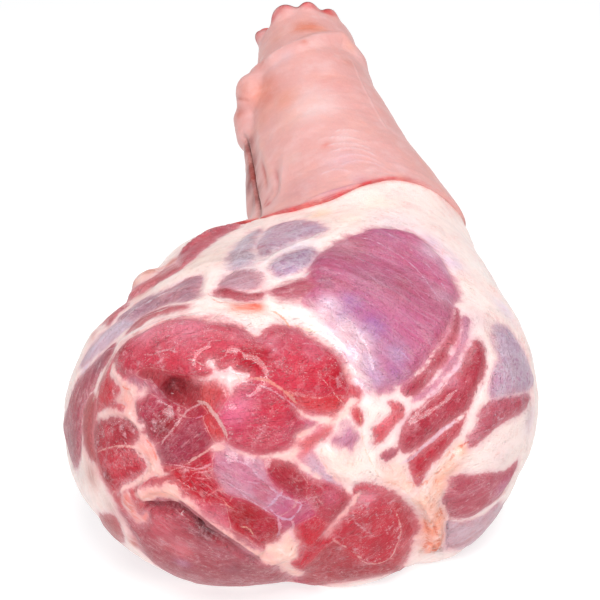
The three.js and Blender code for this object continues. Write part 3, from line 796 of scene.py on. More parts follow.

# Lines of white fat, film and blood, and darker lines in the creases of the folds of fat that are painted
# shade: path in pixels, half width and height in mm, and colour.
STRANDS = [
    ("162 445, 166 438, 173 431, 177 424, 183 418, 188 411, 198 405, 206 402", 0.58, 0.2, (238, 184, 190)),
    ("147 375, 152 381, 160 390, 165 397, 172 402, 182 407", 0.36, 0.2, (206, 150, 160)),
    ("198 401, 208 404, 214 412, 220 420, 225 430, 228 440", 1.5, 0.3, (242, 200, 196)),
    ("189 419, 196 420, 203 417", 0.72, 0.1, (222, 150, 180)),
    ("147 357, 156 357, 163 354, 172 353, 181 355", 0.36, 0.1, (238, 190, 195)),
    ("185 362, 195 362, 204 366, 210 364", 0.43, 0.1, (244, 200, 200)),
    ("98 453, 108 449, 118 446, 128 446, 138 448", 0.72, 0.3, (247, 192, 184)),
    ("186 466, 192 460, 200 455, 208 450, 216 445", 0.58, 0.2, (247, 186, 182)),
    ("162 458, 166 463, 175 465, 187 466, 196 468, 204 467, 212 463, 222 462", 0.5, 0.2, (241, 172, 184)),
    ("187 466, 180 468, 172 471, 165 476, 152 480", 0.5, 0.2, (242, 160, 160)),
    ("213 470, 204 471, 196 472, 191 477, 188 481, 181 484", 0.36, 0.1, (240, 160, 170)),
    ("192 476, 200 478, 210 477, 218 474", 0.29, 0.1, (238, 140, 150)),
    ("176 484, 186 488, 196 491, 204 493, 208 495, 216 490, 225 487", 0.36, 0.1, (238, 140, 146)),
    ("204 493, 208 499, 211 505", 0.32, 0.1, (238, 140, 146)),
    ("180 452, 184 445, 190 440, 203 433", 0.36, 0.1, (226, 150, 160)),
    ("216 461, 228 462, 238 461, 247 464, 255 471, 263 479, 272 488, 281 494, 291 498, 302 503", 0.42, 0.2,
     (232, 186, 208)),
    ("228 482, 238 488, 246 496, 256 502, 264 507, 270 512", 0.4, 0.1, (230, 184, 208)),
    ("262 507, 270 503, 275 497, 281 491", 0.9, 0.2, (226, 186, 214)),
    ("268 505, 276 513, 283 517, 290 517, 296 511, 301 503", 0.8, 0.2, (226, 186, 216)),
    ("276 513, 279 524, 278 534, 275 542", 1.0, 0.2, (236, 170, 190)),
    ("290 517, 293 524, 291 532, 295 541", 1.0, 0.2, (242, 178, 190)),
    ("240 478, 250 481, 262 482", 0.36, 0.1, (230, 170, 196)),
    ("298 466, 303 476, 308 484, 313 490, 316 496, 322 503, 330 508", 0.5, 0.2, (232, 160, 166)),
    ("284 480, 294 480, 303 480", 0.29, 0.1, (225, 130, 130)),
    ("313 491, 306 499, 296 501", 0.36, 0.1, (230, 160, 176)),
    ("318 484, 326 492, 333 500", 0.29, 0.1, (228, 150, 160)),
    ("240 525, 247 526, 252 532, 254 539", 0.43, 0.1, (247, 180, 160)),
    ("222 498, 229 505, 235 507", 0.43, 0.1, (248, 160, 150)),
    ("339 541, 346 545, 355 551, 364 559, 374 561, 384 558, 391 552, 394 544, 398 535, 399 527,"
     "396 515, 392 506",
     0.6, 0.3, (244, 192, 186)),
    ("326 536, 333 538, 340 542", 0.96, 0.2, (240, 160, 160)),
    ("409 508, 411 518, 410 528", 0.29, 0.1, (236, 170, 165)),
    ("413 540, 408 550, 404 558, 399 567", 0.36, 0.1, (236, 172, 160)),
    ("391 554, 386 562, 379 571, 392 568, 404 567", 0.36, 0.1, (230, 160, 156)),
    ("352 518, 360 525, 367 530, 373 534", 0.58, 0.1, (240, 170, 180)),
    ("371 508, 377 517", 0.43, 0.1, (240, 176, 190)),
    ("396 465, 407 461, 414 456, 422 448, 432 440, 442 430, 452 424, 462 417", 1.04, 0.2, (236, 196, 212)),
    ("255 425, 262 430, 268 434, 273 441", 0.29, 0.1, (232, 150, 165)),
    ("262 421, 272 425, 281 430", 0.29, 0.1, (232, 140, 155)),
    ("315 378, 322 382, 328 390, 334 396, 343 403", 0.36, 0.1, (246, 200, 196)),
    ("288 392, 300 396, 310 398, 320 398, 328 394, 334 388", 0.36, 0.1, (246, 180, 180)),
    ("278 341, 291 342", 0.29, 0.0, (244, 214, 218)),
    ("298 347, 310 346, 324 346", 0.36, 0.0, (236, 180, 192)),
    ("252 356, 264 356", 0.29, 0.0, (246, 200, 205)),
    ("254 368, 270 368", 0.29, 0.0, (240, 180, 186)),
    ("281 373, 292 373", 0.36, 0.0, (246, 200, 195)),
    ("240 326, 248 330, 256 334, 262 333, 270 330", 0.43, 0.1, (246, 214, 214)),
    ("116 350, 124 340, 134 333, 146 327, 160 321, 176 317, 196 314, 214 315", 0.88, 0.5, (240, 222, 220)),
    ("342 240, 357 242, 375 247, 400 262, 417 277, 435 300, 447 304, 460 308", 0.36, 0.2, (236, 196, 220)),
    ("344 249, 358 252, 373 250", 0.29, 0.1, (232, 186, 208)),
    ("382 235, 400 247, 420 265, 432 277, 447 300", 0.29, 0.1, (228, 186, 214)),
    ("407 242, 425 255, 440 275, 450 292", 0.29, 0.1, (230, 190, 216)),
    ("350 260, 372 270, 400 280, 417 294, 440 307", 0.29, 0.1, (228, 180, 210)),
    ("332 276, 342 280, 353 285", 0.43, 0.2, (236, 206, 222)),
    ("322 262, 340 266, 360 274, 380 290", 0.25, 0.1, (224, 176, 204)),
    ("360 295, 368 304, 375 315", 0.29, 0.1, (222, 170, 206)),
    ("382 340, 400 355, 417 371", 0.25, 0.1, (214, 176, 214)),
    ("416 346, 426 362, 433 378, 437 388", 0.29, 0.1, (226, 170, 196)),
    ("366 330, 356 344, 350 356", 0.29, 0.1, (232, 226, 242)),
    ("388 262, 404 276, 410 292, 424 306", 0.25, 0.1, (224, 150, 180)),
    ("256 262, 266 261, 276 254, 290 247, 306 241, 324 232", 0.96, 0.6, (242, 226, 224)),
    ("244 378, 256 379, 268 382, 278 388, 288 396, 298 405", 0.7, 0.2, (242, 172, 158)),
    ("236 386, 248 384, 262 387, 274 393, 286 401, 300 410", 0.5, 0.1, (236, 170, 186)),
    ("232 276, 244 268, 258 268, 268 274, 284 280, 300 278, 312 271", 0.8, 0.3, (236, 214, 218)),
    ("236 262, 242 250, 252 242, 262 236", 0.5, 0.2, (232, 210, 216)),
    ("282 250, 290 256, 300 260", 0.43, 0.1, (222, 206, 224)),
    ("270 232, 276 240, 284 244", 0.43, 0.1, (220, 196, 212)),
    ("300 222, 304 230, 312 236", 0.43, 0.1, (220, 200, 218)),
    ("494 345, 502 356, 508 372, 510 392", 0.43, 0.1, (222, 200, 220)),
    ("506 330, 512 350, 522 366, 530 384", 0.36, 0.1, (224, 204, 222)),
    ("512 350, 502 362, 496 380", 0.36, 0.1, (220, 196, 216)),
    ("490 412, 500 418, 510 416, 522 406", 0.36, 0.1, (232, 190, 204)),
    ("484 440, 492 424, 500 418", 0.36, 0.1, (230, 186, 200)),
    ("470 436, 486 430, 500 418", 0.32, 0.1, (232, 184, 196)),
    ("455 508, 470 494, 486 482, 500 476", 0.32, 0.1, (222, 164, 176)),
    ("448 520, 464 520, 484 510, 500 498, 512 482", 0.96, 0.2, (238, 212, 214)),
    ("462 500, 474 506, 486 504", 0.29, 0.1, (222, 160, 170)),
    ("236 374, 239 379, 240 384", 0.43, -0.1, (246, 170, 140)),
    ("262 381, 274 386, 286 393, 292 396", 0.5, -0.1, (245, 160, 140)),
    ("268 310, 276 312, 284 317, 289 323, 291 328", 0.72, -0.2, (244, 132, 88)),
    ("207 291, 212 299, 220 303, 228 303, 232 309, 242 313, 254 313", 0.36, -0.2, (234, 140, 124)),
    ("294 322, 304 327, 314 330, 321 331", 0.88, 0.1, (250, 206, 180)),
    ("120 384, 126 388, 133 390", 0.43, -0.3, (236, 110, 90)),
    ("118 404, 122 405, 126 407", 0.43, -0.2, (236, 120, 100)),
    ("140 434, 146 440, 152 448, 156 458, 158 466", 0.5, -0.3, (238, 120, 100)),
    # Painted shade: from here to 448 450, lines sunk into the creases of the folds of fat and coloured darker
    # than the fat.
    ("358 404, 361 422, 364 442, 369 460, 376 476", 0.43, -0.4, (246, 184, 160)),
    ("322 448, 321 456, 324 464, 330 472, 340 482", 0.43, -0.4, (246, 176, 158)),
    ("412 477, 424 468, 437 462, 450 452, 460 448, 472 446", 0.43, -0.4, (240, 150, 116)),
    ("400 478, 412 481, 421 488, 428 498, 433 510, 434 522", 0.5, -0.9, (240, 160, 136)),
    ("378 478, 390 480, 402 486, 412 497, 420 509, 425 520", 0.58, -0.5, (246, 176, 156)),
    ("421 512, 424 526, 423 540, 419 552", 0.7, -1.2, (222, 112, 84)),
    ("427 512, 432 526, 434 540, 433 552", 0.7, -1.4, (222, 106, 80)),
    ("433 504, 438 518, 440 534, 439 549", 0.6, -1.2, (226, 118, 92)),
    ("439 496, 440 508, 445 520, 447 534", 0.5, -1.0, (230, 126, 100)),
    ("426 482, 430 492, 436 500, 439 510", 0.5, -1.0, (228, 122, 96)),
    ("422 534, 427 538, 430 546", 0.45, -0.8, (224, 112, 84)),
    ("436 476, 436 486, 440 494", 0.5, -0.9, (224, 104, 80)),
    ("418 482, 428 478, 438 470, 448 460, 456 452", 0.5, -1.0, (230, 130, 104)),
    ("452 470, 460 464, 472 462, 480 468", 0.4, -0.7, (230, 128, 110)),
    ("448 450, 458 448, 466 444, 474 440", 0.6, -0.8, (216, 84, 64)),
    ("98 346, 110 334, 126 320, 142 310, 158 302, 178 292, 198 284", 0.5, 0.3, (232, 214, 226)),
    ("112 342, 128 329, 146 318, 164 311, 186 303, 204 297", 0.6, 0.3, (240, 220, 220)),
    ("150 296, 166 290, 180 282, 196 276", 0.4, 0.1, (226, 196, 210)),
    ("132 312, 148 303, 166 297, 184 294", 0.4, 0.1, (226, 196, 210)),
    ("484 476, 487 486, 490 496, 488 508", 0.4, 0.1, (236, 200, 206)),
    ("462 474, 466 486, 474 500", 0.35, 0.1, (226, 150, 160)),
    # Painted shade: a crease of the folds of fat, coloured darker than the fat.
    ("442 470, 444 476, 438 482, 436 490", 0.43, -0.4, (240, 150, 116)),
    ("118 350, 111 360, 104 374, 98 388, 94 402", 1.6, 0.2, (204, 148, 142)),
    ("108 352, 101 366, 94 380, 89 396", 0.29, 0.1, (218, 176, 170)),
    ("116 356, 106 370, 98 386, 92 404", 0.29, 0.1, (226, 190, 184)),
    ("120 344, 108 352, 96 362, 86 376", 0.29, 0.1, (214, 180, 190)),
    ("104 372, 96 384, 86 392, 82 402", 0.29, 0.1, (222, 180, 170)),
]

# Where a muscle's border fades into the fat instead of ending sharply: pixels, radius, and mm of fading.
SOFT_BORDERS = [
    (248, 240, 28, 4.5), (286, 234, 24, 4.5), (270, 258, 20, 4), (330, 312, 22, 10), (350, 342, 20, 10),
    (362, 370, 18, 9), (302, 292, 16, 6), (395, 226, 30, 5), (440, 252, 22, 7), (456, 284, 16, 5),
    (340, 238, 18, 4), (190, 318, 40, 3.5), (172, 385, 30, 4), (215, 385, 16, 3), (300, 440, 16, 3),
    (220, 250, 24, 3), (245, 262, 26, 6), (295, 245, 30, 5), (345, 432, 16, 4), (510, 345, 26, 6),
    (500, 385, 16, 3), (100, 345, 22, 4), (290, 285, 26, 4), (145, 305, 30, 2.5), (230, 480, 24, 3),
    (320, 540, 26, 3), (480, 530, 26, 3), (90, 480, 30, 2.5),
]

# Rolls and hollows too deep for a muscle's own bulge: path, half width and height in mm, and how deep it is
# gathered into wrinkles across its length.
ROLLS = [
    ("322 458, 340 462, 360 470, 380 480, 400 484, 416 493, 426 508, 430 526, 430 548", 8.0, 4.0, 0.0),
    ("404 482, 418 492, 427 506, 432 524, 432 550", 4.5, 1.6, 0.9),
    ("416 486, 423 500, 426 520, 424 550", 2.2, 2.0, 0.3),
    ("422 480, 431 498, 434 520, 433 552", 2.2, 2.3, 0.3),
    ("426 476, 437 494, 441 514, 442 550", 2.2, 2.0, 0.3),
    ("436 482, 440 496, 446 514, 448 534", 1.7, 1.3, 0.3),
    ("412 478, 426 472, 442 466, 458 456, 474 450", 4.5, 1.4, 0.7),
    ("138 495, 148 487, 168 485, 184 494, 200 506, 222 523, 244 538, 264 553", 3.4, 3.6, 0.3),
    ("144 507, 164 506, 180 508, 194 518, 204 526", 2.8, -4.6, 0.0),
    ("196 521, 220 537, 240 551, 258 562", 2.2, -2.0, 0.0),
    ("160 384, 172 389, 186 388", 5.5, -4.5, 0.0),
    ("97 416, 110 411, 124 411, 136 420, 144 430", 2.4, 1.5, 0.2),
    ("114 368, 124 382, 136 392, 140 408, 143 424", 2.6, 1.0, 0.4),
    ("240 305, 256 306, 268 311", 3.2, 1.2, 0.3),
    ("180 256, 200 240, 224 230, 250 226", 4.0, 1.2, 0.6),
    ("130 318, 150 304, 176 296, 200 286", 4.0, 1.0, 0.3),
    ("210 290, 240 302, 276 312, 300 328, 330 342, 348 366, 356 392", 4.0, -1.2, 0.0),
    ("288 545, 292 556, 300 572", 4.0, 1.6, 0.6),
    ("470 425, 462 440, 448 456", 3.0, -1.0, 0.0),
]


def closed_body(name, rows, paint, slot, **values):
    """A closed mesh through rows of points, each row a ring, with a pole past the first row and the last."""
    count, columns = rows.shape[:2]
    points = np.vstack([rows.reshape(-1, 3), rows[0].mean(0), rows[-1].mean(0)])
    i, j = np.meshgrid(np.arange(count - 1), np.arange(columns), indexing="ij")
    k = (j + 1) % columns
    quads = np.stack([i * columns + j, (i + 1) * columns + j, (i + 1) * columns + k, i * columns + k], -1)
    ring, after = np.arange(columns), (np.arange(columns) + 1) % columns
    last = (count - 1) * columns
    first_pole, last_pole = count * columns, count * columns + 1
    start = np.stack([np.full(columns, first_pole), ring, after], -1)
    end = np.stack([np.full(columns, last_pole), last + after, last + ring], -1)
    a, b, c, _ = np.moveaxis(points[quads.reshape(-1, 4)], 1, 0)
    if np.sum(a * np.cross(b - a, c - a)) < 0:
        quads, start, end = quads[..., ::-1], start[:, ::-1], end[:, ::-1]
    mesh = bpy.data.meshes.new(name)
    faces = quads.reshape(-1, 4).tolist() + start.tolist() + end.tolist()
    mesh.from_pydata(((points + HAM_PLACE) * MM).tolist(), [], faces)
    mesh.shade_smooth()
    for key, value in values.items():
        value = value.reshape(count * columns, -1)
        value = np.vstack([value, value[:columns].mean(0), value[-columns:].mean(0)])
        if value.shape[1] == 1:
            mesh.attributes.new(key, "FLOAT", "POINT").data.foreach_set("value", value.ravel())
        elif key in ("lean", "fat", "line_tint"):
            tinted = np.column_stack([value, np.ones(len(value))])
            mesh.attributes.new(key, "FLOAT_COLOR", "POINT").data.foreach_set("color", tinted.ravel())
        else:
            mesh.attributes.new(key, "FLOAT_VECTOR", "POINT").data.foreach_set("vector", value.ravel())
    mesh.materials.append(paint)
    piece = bpy.data.objects.new(name, mesh)
    bpy.context.collection.objects.link(piece)
    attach(piece, "root")
    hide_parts("pork_leg")


def colour_share(depths, softness):
    """How much of each outline's colour a point takes: most from the one it is deepest in."""
    weight = np.exp((depths - depths.max(0)) / softness)
    return weight / weight.sum(0)


def spot_share(p, spot, radius):
    """How strongly a round spot with a soft edge covers each point: exp(-(distance / radius) squared)."""
    return np.exp(-(np.linalg.norm(p - spot, axis=1) / radius) ** 2)


outlines = [rounded(pixels(row[0]), True) for row in [*MUSCLES.values(), *FAT_PATCHES.values()]]
outlines.append(rounded(pixels(FACE_OUTLINE), True))
paths = [rounded(pixels(row[0]), False) for row in STRANDS + ROLLS]
spots = [np.array([(row[0], row[1]) for row in shades], float)
         for shades in (MUSCLE_TONES_AND_PAINTED_LIGHT, FAT_TONES_AND_PAINTED_LIGHT, SOFT_BORDERS)]
laid = lay(outlines + paths + spots)
muscle_lines, patch_lines = laid[:len(MUSCLES)], laid[len(MUSCLES):len(outlines) - 1]
face_line = laid[len(outlines) - 1]
strand_lines, spot_places = laid[len(outlines):-3], laid[-3:]
MM_PER_PIXEL = np.linalg.norm(EYE_MM - face_line.mean(0)) / (LENS_MM / SENSOR_MM * FRAME_PIXELS)

# In mm: how high a bulge of 1 is and how soon past the border it gets there, how deep the groove along the
# border is, where it lies and how wide it is, and a distance that no line or seam is seen from.
BULGE, BULGE_REACH = 2.1, 4.5
GROOVE, GROOVE_PLACE, GROOVE_WIDTH = 0.35, -0.8, 2.2
NO_LINE = 4.0


def painted(p):
    """Moves points of the ham's surface to its relief and gives them what the meat's material reads."""
    out = slope(p)
    to_camera = EYE_MM - p
    facing = np.sum(out * to_camera, 1) / np.linalg.norm(to_camera, axis=1)
    depths = np.stack([inside_outline(p, out, line) for line in muscle_lines])
    share = colour_share(depths, 1.3)
    lean = share.T @ linear(np.array([row[1] for row in MUSCLES.values()]))
    looks = share.T @ np.array([row[3:] for row in MUSCLES.values()])
    angles = np.radians([row[2] for row in MUSCLES.values()])
    upwards = np.sin(angles)
    ways = np.stack([np.cos(angles), upwards * np.sin(LOOK_DOWN), upwards * np.cos(LOOK_DOWN)], -1)
    fibre_way = ways[depths.argmax(0)]
    ranked = np.sort(depths, axis=0)
    face_depth = inside_outline(p, out, face_line)
    edge = np.maximum(ranked[-1], face_depth)
    patches = np.stack([inside_outline(p, out, line) for line in patch_lines])
    edge = np.minimum(edge, -patches.max(0))
    seam = np.where(np.minimum(face_depth, edge) > 0, ranked[-1] - ranked[-2], NO_LINE)

    # The sides that the photograph doesn't show: muscles of a like size, parted by seams of fat. A point is
    # in the cell of the nearest place, as deep as half its lead over the next one.
    bent = p + 7 * np.stack([soft_noise(p, 22, s) for s in (11, 12, 13)], -1)
    gaps = np.linalg.norm((bent[:, None] - CELL_PLACES[None]) * (1.0, 0.55, 0.8), axis=-1)
    first, second = np.argpartition(gaps, 1, axis=1)[:, :2].T
    here = np.arange(len(p))
    swapped = gaps[here, first] > gaps[here, second]
    first, second = np.where(swapped, second, first), np.where(swapped, first, second)
    cell = (gaps[here, second] - gaps[here, first]) / 2 - 3.0
    turned_away = (-facing - 0.14) * 60
    cell = np.minimum(np.where(CELL_IS_FAT[first], -6.0, cell), turned_away)
    behind = cell > edge
    apart = np.minimum(np.where(behind, NO_LINE, ranked[-1] - ranked[-2]), abs(cell - edge))
    lean[behind] = CELL_COLOURS[first[behind]]
    looks[behind] = (0.9, 0.5, 0.4, 0.6)
    fibre_way[behind] = (0.3, 0.8, 0.52)
    seam[behind] = NO_LINE
    edge = np.maximum(edge, cell)
    edge += 1.0 * soft_noise(p, 8, 21) + 0.6 * soft_noise(p, 3.2, 22)

    in_patch = np.clip(patches.max(0) / 2 + 1.2, 0, 1)[:, None]
    fat = np.tile(linear((250, 230, 224)), (len(p), 1))
    in_face = np.clip(face_depth / 4 + 0.5, 0, 1)[:, None]
    fat += in_face * (linear((240, 160, 150)) - fat)
    patch_colours = linear(np.array([row[1] for row in FAT_PATCHES.values()]))
    fat += in_patch * (colour_share(patches, 1.5).T @ patch_colours - fat)
    # Soft spots of colour over lean and fat: the meat's own tones, and the painted highlights and painted
    # shade marked in the lists.
    for shades, places, layer in ((MUSCLE_TONES_AND_PAINTED_LIGHT, spot_places[0], lean), (FAT_TONES_AND_PAINTED_LIGHT, spot_places[1], fat)):
        for spot, (_, _, radius, colour) in zip(places, shades):
            weight = 0.9 * spot_share(p, spot, radius * MM_PER_PIXEL)[:, None]
            layer += weight * (linear(colour) - layer)
    soft = np.where(behind, 2.5, 1.1)
    for spot, (_, _, radius, fade) in zip(spot_places[2], SOFT_BORDERS):
        soft += (fade - soft) * spot_share(p, spot, radius * MM_PER_PIXEL)

    # Muscles bulge from a groove along their border, and the fat between them is lumpy.
    height = BULGE * looks[:, 0] * (1 - np.exp(-((np.maximum(edge, 0) / BULGE_REACH) ** 2)))
    height -= GROOVE * np.exp(-(((edge - GROOVE_PLACE) / GROOVE_WIDTH) ** 2))
    height -= 0.25 * np.exp(-((seam / 1.2) ** 2))
    lumps = 1.1 * soft_noise(p, 18, 31) + 0.6 * np.hypot(soft_noise(p, 8, 32), 0.3)
    lumps += 0.15 * soft_noise(p, 3.2, 34)
    height += lumps * np.clip((2 - edge) / 6, 0.15, 1)
    for (_, half_width, rise, gather), roll in zip(ROLLS, strand_lines[len(STRANDS):]):
        near = near_line(p, facing, roll, 2 * half_width + 4)
        distance, along = path_distance(p[near], roll)
        ends = np.clip(np.minimum(along, along.max(initial=1) - along) / (1.5 * half_width), 0, 1)
        profile = np.exp(-((distance / half_width) ** 4)) * ends * (2 - ends)
        wrinkle = np.abs(np.sin(along * 0.75 + 1.6 * soft_noise(p[near], 9, 35))) - 0.6
        height[near] += profile * (rise + gather * wrinkle)

    line = np.full(len(p), NO_LINE)
    line_tint = np.tile(linear((250, 220, 210)), (len(p), 1))
    for (_, half_width, rise, colour), strand in zip(STRANDS, strand_lines):
        near = near_line(p, facing, strand, 8)
        distance, along = path_distance(p[near], strand)
        taper = np.clip(np.minimum(along, along.max(initial=1) - along) / (8 * half_width), 0.1, 1) ** 0.5
        width = half_width * taper * (1 + 0.4 * soft_noise(p[near], 6, 33))
        closer = distance - width < line[near]
        line[near[closer]] = (distance - width)[closer]
        line_tint[near[closer]] = linear(colour)
        height[near] += rise * np.exp(-((distance / (width + 0.5)) ** 2))

    # The relief dies out toward the flat underside. Fibre places are squeezed to a seventh along the fibres.
    height *= np.clip(p[:, 2] / 8, 0, 1)
    moved = p + out * height[:, None]
    moved[:, 2] = np.maximum(moved[:, 2], 0)
    fibre = (moved - 0.86 * np.sum(moved * fibre_way, 1)[:, None] * fibre_way) * MM
    return moved, dict(edge=edge, soft=soft, seam=seam, apart=apart, line=line, veins=looks[:, 1],
                       flecks=looks[:, 2], film=looks[:, 3], lean=lean, fat=fat, line_tint=line_tint,
                       fibre=fibre)


# Places, colours and kinds of the muscles on the hidden sides, drawn from a seeded spread.
spread = np.random.default_rng(7)
around_leg = skin_rows(np.linspace(0, RIND_EDGE, 40), np.zeros(40), 80).reshape(-1, 3)
hidden = (np.sum(slope(around_leg) * (EYE_MM - around_leg), 1) < 0) & (around_leg[:, 2] > 0)
CELL_PLACES = around_leg[hidden][spread.choice(hidden.sum(), 44, replace=False)]
CELL_SHADES = [(186, 84, 98), (200, 100, 108), (196, 128, 160), (176, 74, 90), (190, 110, 130)]
CELL_COLOURS = linear(np.array(CELL_SHADES))[spread.integers(0, 5, len(CELL_PLACES))]
CELL_IS_FAT = spread.random(len(CELL_PLACES)) < 0.45

meat = Paint("wet_meat")
place = meat.node("ShaderNodeTexCoord", {}, {}, "Object")
stretched = meat.attribute("fibre", "Vector")
border = meat.attribute("edge")
fading = meat.attribute("soft")

# Where muscle ends and fat begins: the border, made ragged in mm, and faded where it is soft.
ragged = (meat.noise(place, 420, 4, 0.65) - 0.5) * 3.6 + (meat.noise(place, 120, 3) - 0.5) * 3.5
ragged = ragged + (meat.noise(stretched, 200, 4, 0.6) - 0.5) * fading * 2.6
mask = ((border + ragged) / fading).rise(-1, 1)

# Masks of the lines, veins, glints, flecks, marbling, webs and sheets of film that lie in the muscle.
veins = meat.attribute("veins")
flecks = meat.attribute("flecks")
film = meat.attribute("film")
uneven = (meat.noise(place, 1300, 3) - 0.5) * 1.4 + (meat.noise(place, 260, 2) - 0.42) * 1.8
white_line = 1 - (meat.attribute("line") + uneven).rise(-0.3, 0.3)
seam_line = 1 - (meat.attribute("seam") + (meat.noise(place, 500, 3) - 0.5) * 1.5).rise(-0.1, 0.7)
vein_line = 1 - abs(meat.noise(stretched, 230, 3, 0.6, 0.3) - 0.5).rise(0.0, 0.05)
vein_line = vein_line * veins * meat.noise(place, 110).rise(0.42, 0.62)
glint = meat.noise(place, 1100, 3, 0.7).rise(0.58, 0.66) * meat.noise(place, 110, 3).rise(0.46, 0.62) * flecks
fleck = meat.noise(stretched, 1500, 3).rise(0.6, 0.7) * flecks * meat.noise(place, 140).rise(0.38, 0.62)
warp = {0: meat.node("ShaderNodeTexNoise", {}, {"Vector": place, "Scale": 160, "Detail": 3}, "Color"),
        1: (0.012, 0.012, 0.012), 2: place}
warped = meat.node("ShaderNodeVectorMath", {"operation": "MULTIPLY_ADD"}, warp)
seams = {"Vector": warped, "Scale": 105}
marble = 1 - meat.node("ShaderNodeTexVoronoi", {"feature": "DISTANCE_TO_EDGE"}, seams).rise(0.0, 0.12)
marble = marble * (flecks + 0.15) * meat.noise(place, 85, 2).rise(0.42, 0.6)
cells = {"Vector": warped, "Scale": 210}
web = 1 - meat.node("ShaderNodeTexVoronoi", {"feature": "DISTANCE_TO_EDGE"}, cells).rise(0.0, 0.34)
web = web * film.rise(0.45, 0.95) * meat.noise(place, 90).rise(0.3, 0.6)
sheet = meat.noise(stretched, 420, 3, 0.6, 0.2).rise(0.45, 0.75)
sheet = (sheet + meat.noise(stretched, 130, 3).rise(0.4, 0.8)) * film
grain = meat.noise(stretched, 1500, 2)

# The muscle's colour: deepened where no film lies on it, mottled dark and pale, then the lines, flecks and
# painted glints.
muscle = meat.attribute("lean", "Color")
tone = meat.mix(film.rise(0.15, 0.7), (1.0, 0.56, 0.70, 1), (1.0, 1.0, 1.0, 1))
muscle = meat.mix(1.0, muscle, tone, "MULTIPLY")
dark_bands = meat.noise(stretched, 60, 4, 0.6).rise(0.42, 0.7)
muscle = meat.mix(dark_bands * 0.32, muscle, (0.44, 0.012, 0.035, 1))
dark_strands = meat.noise(stretched, 240, 4, 0.65).rise(0.45, 0.75)
muscle = meat.mix(dark_strands * 0.25, muscle, (0.34, 0.010, 0.025, 1))
pale_patches = meat.noise(place, 110, 5, 0.7).rise(0.5, 0.8)
muscle = meat.mix(pale_patches * 0.3, muscle, (0.78, 0.30, 0.36, 1))
muscle = meat.mix((1 - border.rise(0.0, 5.0)) * 0.4, muscle, (0.86, 0.36, 0.40, 1))
muscle = meat.mix((grain - 0.5) * 0.4 + 0.04, muscle, (0.75, 0.3, 0.32, 1))
muscle = meat.mix(sheet * 0.4 + film * 0.14, muscle, (0.82, 0.66, 0.80, 1))
muscle = meat.mix(web * 0.5, muscle, (0.80, 0.68, 0.76, 1))
muscle = meat.mix(vein_line * 0.4, muscle, (0.84, 0.46, 0.48, 1))
muscle = meat.mix(marble * 0.25, muscle, (0.84, 0.44, 0.50, 1))
bloom = meat.noise(place, 190, 5, 0.65).rise(0.54, 0.68) * flecks * meat.noise(place, 70, 2).rise(0.42, 0.6)
muscle = meat.mix(bloom * 0.7, muscle, (0.92, 0.52, 0.58, 1))
# Pale flecks of fat, and glints that are painted highlights.
muscle = meat.mix(fleck * 0.5 + glint * 0.8, muscle, (0.96, 0.76, 0.78, 1))
muscle = meat.mix(seam_line * 0.5, muscle, (0.84, 0.42, 0.40, 1))

# The fat's colour: pink and orange mottling, white strands, fine blood vessels and a blush near muscle.
pale = meat.attribute("fat", "Color")
pale = meat.mix(meat.noise(place, 60, 4, 0.6).rise(0.45, 0.75) * 0.4, pale, (0.84, 0.56, 0.56, 1))
pale = meat.mix(meat.noise(place, 260, 4, 0.6).rise(0.5, 0.75) * 0.35, pale, (0.82, 0.46, 0.42, 1))
pale = meat.mix(meat.noise(stretched, 330, 4, 0.6).rise(0.45, 0.75) * 0.5, pale, (0.94, 0.82, 0.80, 1))
pale = meat.mix(1.0, pale, (1.0, 0.95, 0.95, 1), "MULTIPLY")
capillary = 1 - abs(meat.noise(place, 75, 4, 0.6, 0.5) - 0.5).rise(0.002, 0.009)
pale = meat.mix(capillary * meat.noise(place, 60, 2).rise(0.5, 0.65) * 0.45, pale, (0.82, 0.30, 0.22, 1))
blush = (border + ragged).rise(-5, 0.5) * (1 - fading.rise(1.5, 5)) * 0.45
pale = meat.mix(blush, pale, (0.78, 0.38, 0.44, 1))

# Both together, with the traced lines over them. The relief of the fibres calms where their way changes.
colour = meat.mix(mask, pale, muscle)
colour = meat.mix(white_line * 0.6, colour, meat.attribute("line_tint", "Color"))
wet = meat.noise(place, 260, 3)
calm = meat.attribute("apart").rise(1.5, 4.0)
lobes = {"Vector": warped, "Scale": 330, "Smoothness": 0.6}
lobules = (meat.node("ShaderNodeTexVoronoi", {"feature": "SMOOTH_F1"}, lobes) - 0.4) * (1 - mask) * calm
ridges = meat.noise(place, 200, 5, 0.6) - 0.5 + (meat.noise(stretched, 330, 4) - 0.5) * calm
ridges = ridges * (mask * 0.7 + 0.2) * (calm * 0.7 + 0.3)
pits = (meat.noise(place, 900, 3, 0.6) - 0.5) * (mask + 0.5) + ((grain - 0.5) * 0.6 + fleck) * calm
paint = meat.finish(
    {"Base Color": colour, "Roughness": 0.36 + wet * 0.2, "Subsurface Weight": 0.1,
     "Subsurface Radius": (1.0, 0.35, 0.25), "Subsurface Scale": 0.003, "Coat Weight": 0.34,
     "Coat Roughness": 0.13, "Specular IOR Level": 0.06},
    [(ridges, 0.9, 0.0026), (lobules, -0.2, 0.0014), (pits, 0.9, 0.0014)],
)

